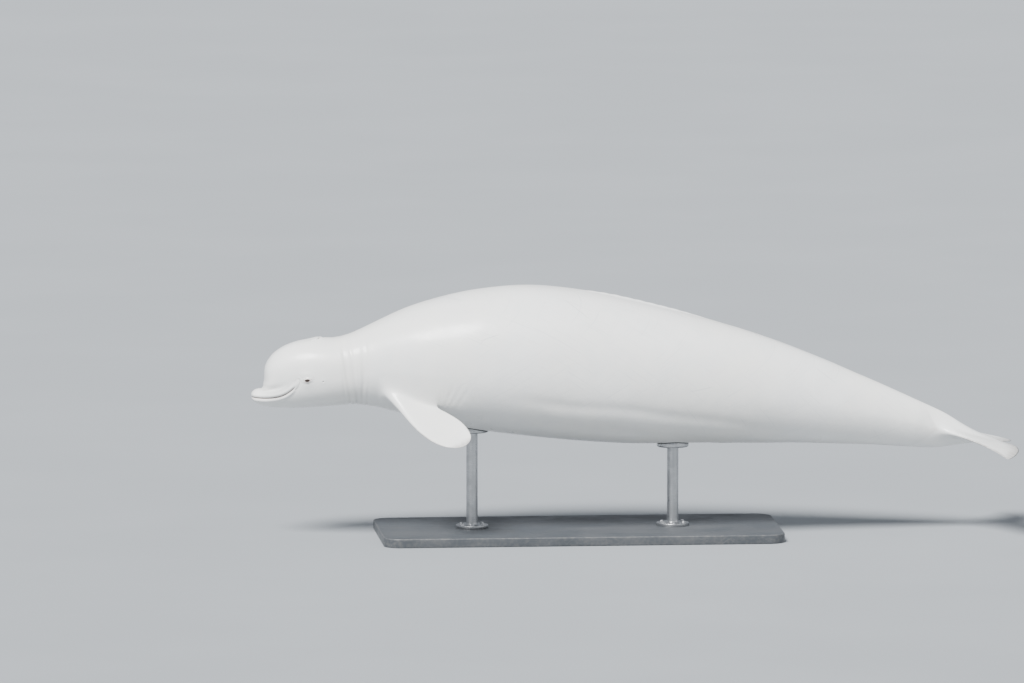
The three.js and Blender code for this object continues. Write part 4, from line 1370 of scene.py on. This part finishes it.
def make_scratches():
    """Long thin lines in two directions, where thin flat cells cut the surface. More amount shows more."""
    inputs = {"Vector": "Vector", "Scale": "Float", "Amount": "Float"}
    tree, graph, given, result = new_group("scratches", inputs, {"Mask": "Float"})
    limit = graph.minus(SCRATCH_LIMIT, graph.times(given["Amount"], SCRATCH_GAIN))
    sway = graph.add("TexNoise", {"Vector": given["Vector"], "Scale": given["Scale"]}, 1)
    swayed = graph.vector("ADD", given["Vector"], graph.vector("MULTIPLY", sway, [SCRATCH_SWAY] * 3))
    layers = []
    for turn in SCRATCH_TURNS:
        lines = graph.noise(graph.stretched(swayed, SCRATCH_STRETCH, turn), given["Scale"], 0.0)
        layers.append(graph.times(graph.minus(lines, limit), SCRATCH_CONTRAST))
    strongest = graph.math("MAXIMUM", *layers)
    graph.fill(result, {"Mask": graph.ramp(strongest, 0.0, 1.0)})
    return tree


def make_edge_wear():
    """Worn edges, broken up by noise."""
    inputs = {"Vector": "Vector", "Edge": "Float", "Scale": "Float"}
    tree, graph, given, result = new_group("edge_wear", inputs, {"Mask": "Float"})
    broken = graph.ramp(graph.noise(given["Vector"], given["Scale"], 4.0), 0.38, 0.72)
    graph.fill(result, {"Mask": graph.times(given["Edge"], broken)})
    return tree


# Half width of a scar and how far it wanders, in metres, and how often
SCAR_WIDTH, SCAR_WANDER, SCAR_WANDER_SCALE = 0.003, 0.012, 22.0


def make_scar():
    """One faint line on a flank, from a start along a direction, with soft ends."""
    inputs = {"Vector": "Vector", "Start": "Vector", "Along": "Vector", "Across": "Vector"}
    inputs |= {"Length": "Float", "Width": "Float", "Side": "Float"}
    tree, graph, given, result = new_group("scar", inputs, {"Mask": "Float"})
    from_start = graph.vector("SUBTRACT", given["Vector"], given["Start"])
    along = graph.math("DIVIDE", graph.along(from_start, given["Along"]), given["Length"])
    wander = graph.times(graph.minus(graph.noise(given["Vector"], SCAR_WANDER_SCALE), 0.5), SCAR_WANDER)
    across = graph.math("ABSOLUTE", graph.plus(graph.along(from_start, given["Across"]), wander))
    line = graph.fade(graph.math("DIVIDE", across, given["Width"]), 0.2, 1.0)
    ends = graph.times(graph.ramp(along, 0.0, 0.2), graph.fade(along, 0.7, 1.0))
    sideways = graph.times(graph.parts(given["Vector"])["Y"], given["Side"])
    on_its_side = graph.math("GREATER_THAN", sideways, 0.0)
    graph.fill(result, {"Mask": graph.times(graph.times(line, ends), on_its_side)})
    return tree


FINE_GRAIN, SCRATCHES, EDGE_WEAR, SCAR = make_grain(), make_scratches(), make_edge_wear(), make_scar()


class Finish(Graph):
    """The graph of a new material, whose shader starts with its fixed values."""

    def __init__(self, name, constants):
        self.material = bpy.data.materials.new(name)
        self.material.use_nodes = True
        super().__init__(self.material.node_tree)
        self.shader = self.tree.nodes["Principled BSDF"]
        self.fill(self.shader, constants)

    def grain(self, vector, fine, patches):
        return self.place(FINE_GRAIN, {"Vector": vector, "Grain Scale": fine, "Patch Scale": patches})

    def scratches(self, vector, scale, amount):
        return self.place(SCRATCHES, {"Vector": vector, "Scale": scale, "Amount": amount})["Mask"]

    def worn_edges(self, vector, scale):
        edge = self.parts(self.attribute("wear"))["X"]
        return self.place(EDGE_WEAR, {"Vector": vector, "Edge": edge, "Scale": scale})["Mask"]

    def bump(self, height, strength, distance):
        return self.add("Bump", {"Strength": strength, "Distance": distance, "Height": height})

    def done(self, inputs):
        """Gives the shader what changes over the surface."""
        self.fill(self.shader, inputs)
        return self.material


def paint(*colour):
    return (*colour, 1)


# Scars on the flanks: side, and station and height of both ends. The first is the one in the photograph.
SCARS = [
    (-1, 1605, 358, 1762, 261),
    (-1, 1180, 120, 1300, 168),
    (-1, 2290, -30, 2440, 20),
    (1, 1420, 210, 1560, 130),
    (1, 2120, 150, 2290, 176),
    (1, 905, -60, 990, -5),
]


def scar_marks(finish, anatomy):
    marks = 0.0
    for side, x, z, to_x, to_z in SCARS:
        length = math.hypot(to_x - x, to_z - z)
        run, rise = (to_x - x) / length, (to_z - z) / length
        inputs = {"Vector": anatomy, "Start": (x * MM, 0, z * MM), "Along": (run, 0, rise)}
        inputs |= {"Across": (-rise, 0, run), "Length": length * MM, "Width": SCAR_WIDTH, "Side": side}
        marks = finish.math("MAXIMUM", finish.place(SCAR, inputs)["Mask"], marks)
    return marks


def whale_skin():
    """Smooth wet white skin with faint mottling and scars, grey fin edges, and painted shade in its folds,
    grooves and openings.
    """
    finish = Finish("whale_skin", {"Coat Weight": 0.25, "Coat Roughness": 0.2, "IOR": 1.42})
    anatomy = finish.attribute("anatomy")
    shade_and_marks, rim, rosy = finish.parts(finish.attribute("marks"))
    fine = finish.grain(anatomy, fine=620.0, patches=2.6)
    coarse = finish.grain(anatomy, fine=46.0, patches=11.0)
    scars = scar_marks(finish, anatomy)
    station, _, height = finish.parts(anatomy)
    off_head_and_belly = finish.times(finish.ramp(station, 0.5, 1.1), finish.ramp(height, -0.32, -0.12))
    lines = finish.times(finish.scratches(anatomy, scale=1.3, amount=0.5), off_head_and_belly)
    worn_rim = finish.times(rim, finish.ramp(coarse["Height"], 0.3, 0.6, 0.55, 0.95))
    colour = finish.coats(
        paint(0.84, 0.845, 0.83),
        (fine["Patches"], 0.35, paint(0.80, 0.785, 0.72)),
        (coarse["Patches"], 0.16, paint(0.64, 0.67, 0.69)),
        (lines, 0.3, paint(0.58, 0.60, 0.62)),
        (scars, 0.45, paint(0.50, 0.52, 0.54)),
        (worn_rim, 1, paint(0.40, 0.385, 0.37)),
        (rosy, 0.55, paint(0.62, 0.42, 0.37)),
        # Painted shade in folds, grooves and openings
        (shade_and_marks, 1, paint(0.14, 0.12, 0.115)),
    )
    roughness = finish.ramp(finish.plus(coarse["Patches"], fine["Patches"]), 0.0, 2.0, 0.27, 0.46)
    grain = finish.plus(finish.times(fine["Height"], 0.16), finish.times(coarse["Height"], 0.9))
    relief = finish.minus(grain, finish.times(finish.plus(lines, scars), 0.15))
    normal = finish.bump(relief, strength=0.45, distance=0.0016)
    return finish.done({"Base Color": colour, "Roughness": roughness, "Normal": normal})


# Eye, in shares of its radius: half width and half height of the pupil, and the iris's edge
PUPIL_WIDTH, PUPIL_HEIGHT, IRIS_EDGE = 0.19, 0.105, 0.43


def whale_eye():
    """A dark brown iris with fine fibres and a wide flat pupil, and a brownish white of the eye."""
    constants = {"Roughness": 0.12, "Coat Weight": 1.0, "Coat Roughness": 0.02, "IOR": 1.38}
    finish = Finish("whale_eye", constants)
    gaze = finish.attribute("gaze")
    flat = finish.vector("MULTIPLY", gaze, (1, 1, 0))
    spread = finish.length(flat)
    ways = finish.vector("MULTIPLY", finish.vector("NORMALIZE", flat), (9, 9, 0))
    fibres = finish.ramp(finish.noise(finish.vector("ADD", ways, flat), 2.2, 3.0), 0.3, 0.7)
    iris = finish.coats(paint(0.012, 0.006, 0.004), (fibres, 1, paint(0.052, 0.026, 0.013)))
    veins = finish.ramp(finish.noise(gaze, 14.0, 4.0), 0.45, 0.7)
    outer = finish.coats(paint(0.10, 0.066, 0.055), (veins, 1, paint(0.06, 0.028, 0.024)))
    past_iris = finish.ramp(spread, IRIS_EDGE, IRIS_EDGE + 0.05)
    inside = finish.ramp(spread, IRIS_EDGE - 0.10, IRIS_EDGE)
    limbus = finish.times(inside, finish.fade(spread, IRIS_EDGE + 0.02, IRIS_EDGE + 0.12))
    squeezed = finish.vector("MULTIPLY", flat, (1 / PUPIL_WIDTH, 1 / PUPIL_HEIGHT, 0))
    pupil = finish.fade(finish.length(squeezed), 0.9, 1.1)
    colour = finish.coats(
        iris,
        (past_iris, 1, outer),
        (limbus, 0.85, paint(0.012, 0.008, 0.006)),
        (pupil, 1, paint(0.003, 0.003, 0.003)),
    )
    return finish.done({"Base Color": colour})


def board_paint():
    """Dark grey satin paint on wood: faint grain, soft patches, a few scuffs and worn rims."""
    finish = Finish("board_paint", {"Coat Weight": 0.08, "Coat Roughness": 0.35})
    place_on = finish.object_place()
    grain = finish.grain(place_on, fine=420.0, patches=5.0)
    wood = finish.noise(finish.stretched(place_on, (2.2, 60, 60)), 1.6, 4.0)
    colour = finish.coats(
        paint(0.048, 0.054, 0.061),
        (grain["Patches"], 1, paint(0.066, 0.071, 0.077)),
        (finish.ramp(wood, 0.35, 0.75), 0.35, paint(0.035, 0.039, 0.044)),
        (finish.scratches(place_on, scale=2.4, amount=0.25), 0.35, paint(0.13, 0.135, 0.14)),
        (finish.worn_edges(place_on, scale=60.0), 0.5, paint(0.16, 0.155, 0.145)),
    )
    roughness = finish.ramp(finish.plus(grain["Patches"], wood), 0.3, 1.6, 0.42, 0.62)
    relief = finish.plus(finish.times(grain["Height"], 0.35), finish.times(wood, 0.8))
    normal = finish.bump(relief, strength=0.35, distance=0.0008)
    return finish.done({"Base Color": colour, "Roughness": roughness, "Normal": normal})


def brushed_steel():
    """Steel with the fine rings of the lathe, faint smears and polished edges."""
    finish = Finish("brushed_steel", {"Metallic": 1.0})
    place_on = finish.object_place()
    rings = finish.noise(finish.stretched(finish.attribute("turning"), (0.7, 0.7, 1.3)), 1.0, 5.0)
    smears = finish.grain(place_on, fine=900.0, patches=24.0)
    colour = finish.coats(
        paint(0.43, 0.44, 0.45),
        (finish.ramp(rings, 0.3, 0.7), 1, paint(0.53, 0.54, 0.55)),
        (smears["Patches"], 0.3, paint(0.38, 0.385, 0.39)),
        (finish.worn_edges(place_on, scale=160.0), 0.7, paint(0.66, 0.67, 0.68)),
    )
    ringed = finish.ramp(rings, 0.25, 0.75, 0.24, 0.38)
    roughness = finish.plus(ringed, finish.times(smears["Patches"], 0.10))
    relief = finish.plus(rings, finish.times(smears["Height"], 0.2))
    relief = finish.minus(relief, finish.scratches(place_on, scale=9.0, amount=0.3))
    normal = finish.bump(relief, strength=0.25, distance=0.0003)
    return finish.done({"Base Color": colour, "Roughness": roughness, "Normal": normal})


def rubber_sheet():
    """Dark matt rubber with a fine speckle."""
    finish = Finish("rubber_sheet", {})
    speckle = finish.grain(finish.object_place(), fine=1500.0, patches=40.0)
    colour = finish.coats(paint(0.018, 0.018, 0.019), (speckle["Patches"], 1, paint(0.045, 0.045, 0.044)))
    roughness = finish.ramp(speckle["Height"], 0.3, 0.7, 0.72, 0.9)
    normal = finish.bump(speckle["Height"], strength=0.4, distance=0.0004)
    return finish.done({"Base Color": colour, "Roughness": roughness, "Normal": normal})


def floor_paint():
    finish = Finish("floor_paint", {})
    soft = finish.grain(finish.object_place(), fine=90.0, patches=0.7)
    colour = finish.coats(paint(0.275, 0.293, 0.31), (soft["Patches"], 1, paint(0.285, 0.303, 0.32)))
    roughness = finish.ramp(soft["Height"], 0.3, 0.7, 0.62, 0.74)
    return finish.done({"Base Color": colour, "Roughness": roughness})


FINISHES = {
    whale_skin(): [skin],
    whale_eye(): eyeballs,
    board_paint(): [base_board],
    brushed_steel(): [*flanges, *rods, *bolts, *pads],
    rubber_sheet(): liners,
}
for material, pieces in FINISHES.items():
    for piece in pieces:
        piece.data.materials.append(material)

FLOOR_HALF = 200


def add_floor():
    bm = bmesh.new()
    bmesh.ops.create_grid(bm, x_segments=1, y_segments=1, size=FLOOR_HALF)
    floor = add_object("floor", as_mesh(bm, "floor"))
    floor.data.materials.append(floor_paint())


def add_sun(name, energy, direction, spread):
    data = bpy.data.lights.new(name, "SUN")
    data.energy = energy
    data.angle = math.radians(spread)
    add_object(name, data).rotation_euler = Vector(direction).to_track_quat("-Z", "Y").to_euler()


def add_sky(colour, strength):
    world = bpy.data.worlds.new("studio")
    world.use_nodes = True
    Graph(world.node_tree).fill(world.node_tree.nodes["Background"], {"Color": colour, "Strength": strength})
    bpy.context.scene.world = world


add_floor()
add_sun("key", energy=9.5, direction=(0.5, 0.75, -1.2), spread=22)
add_sun("fill", energy=0.9, direction=(-0.9, 0.5, -0.4), spread=80)
add_sky(paint(0.84, 0.9, 1.0), strength=0.42)
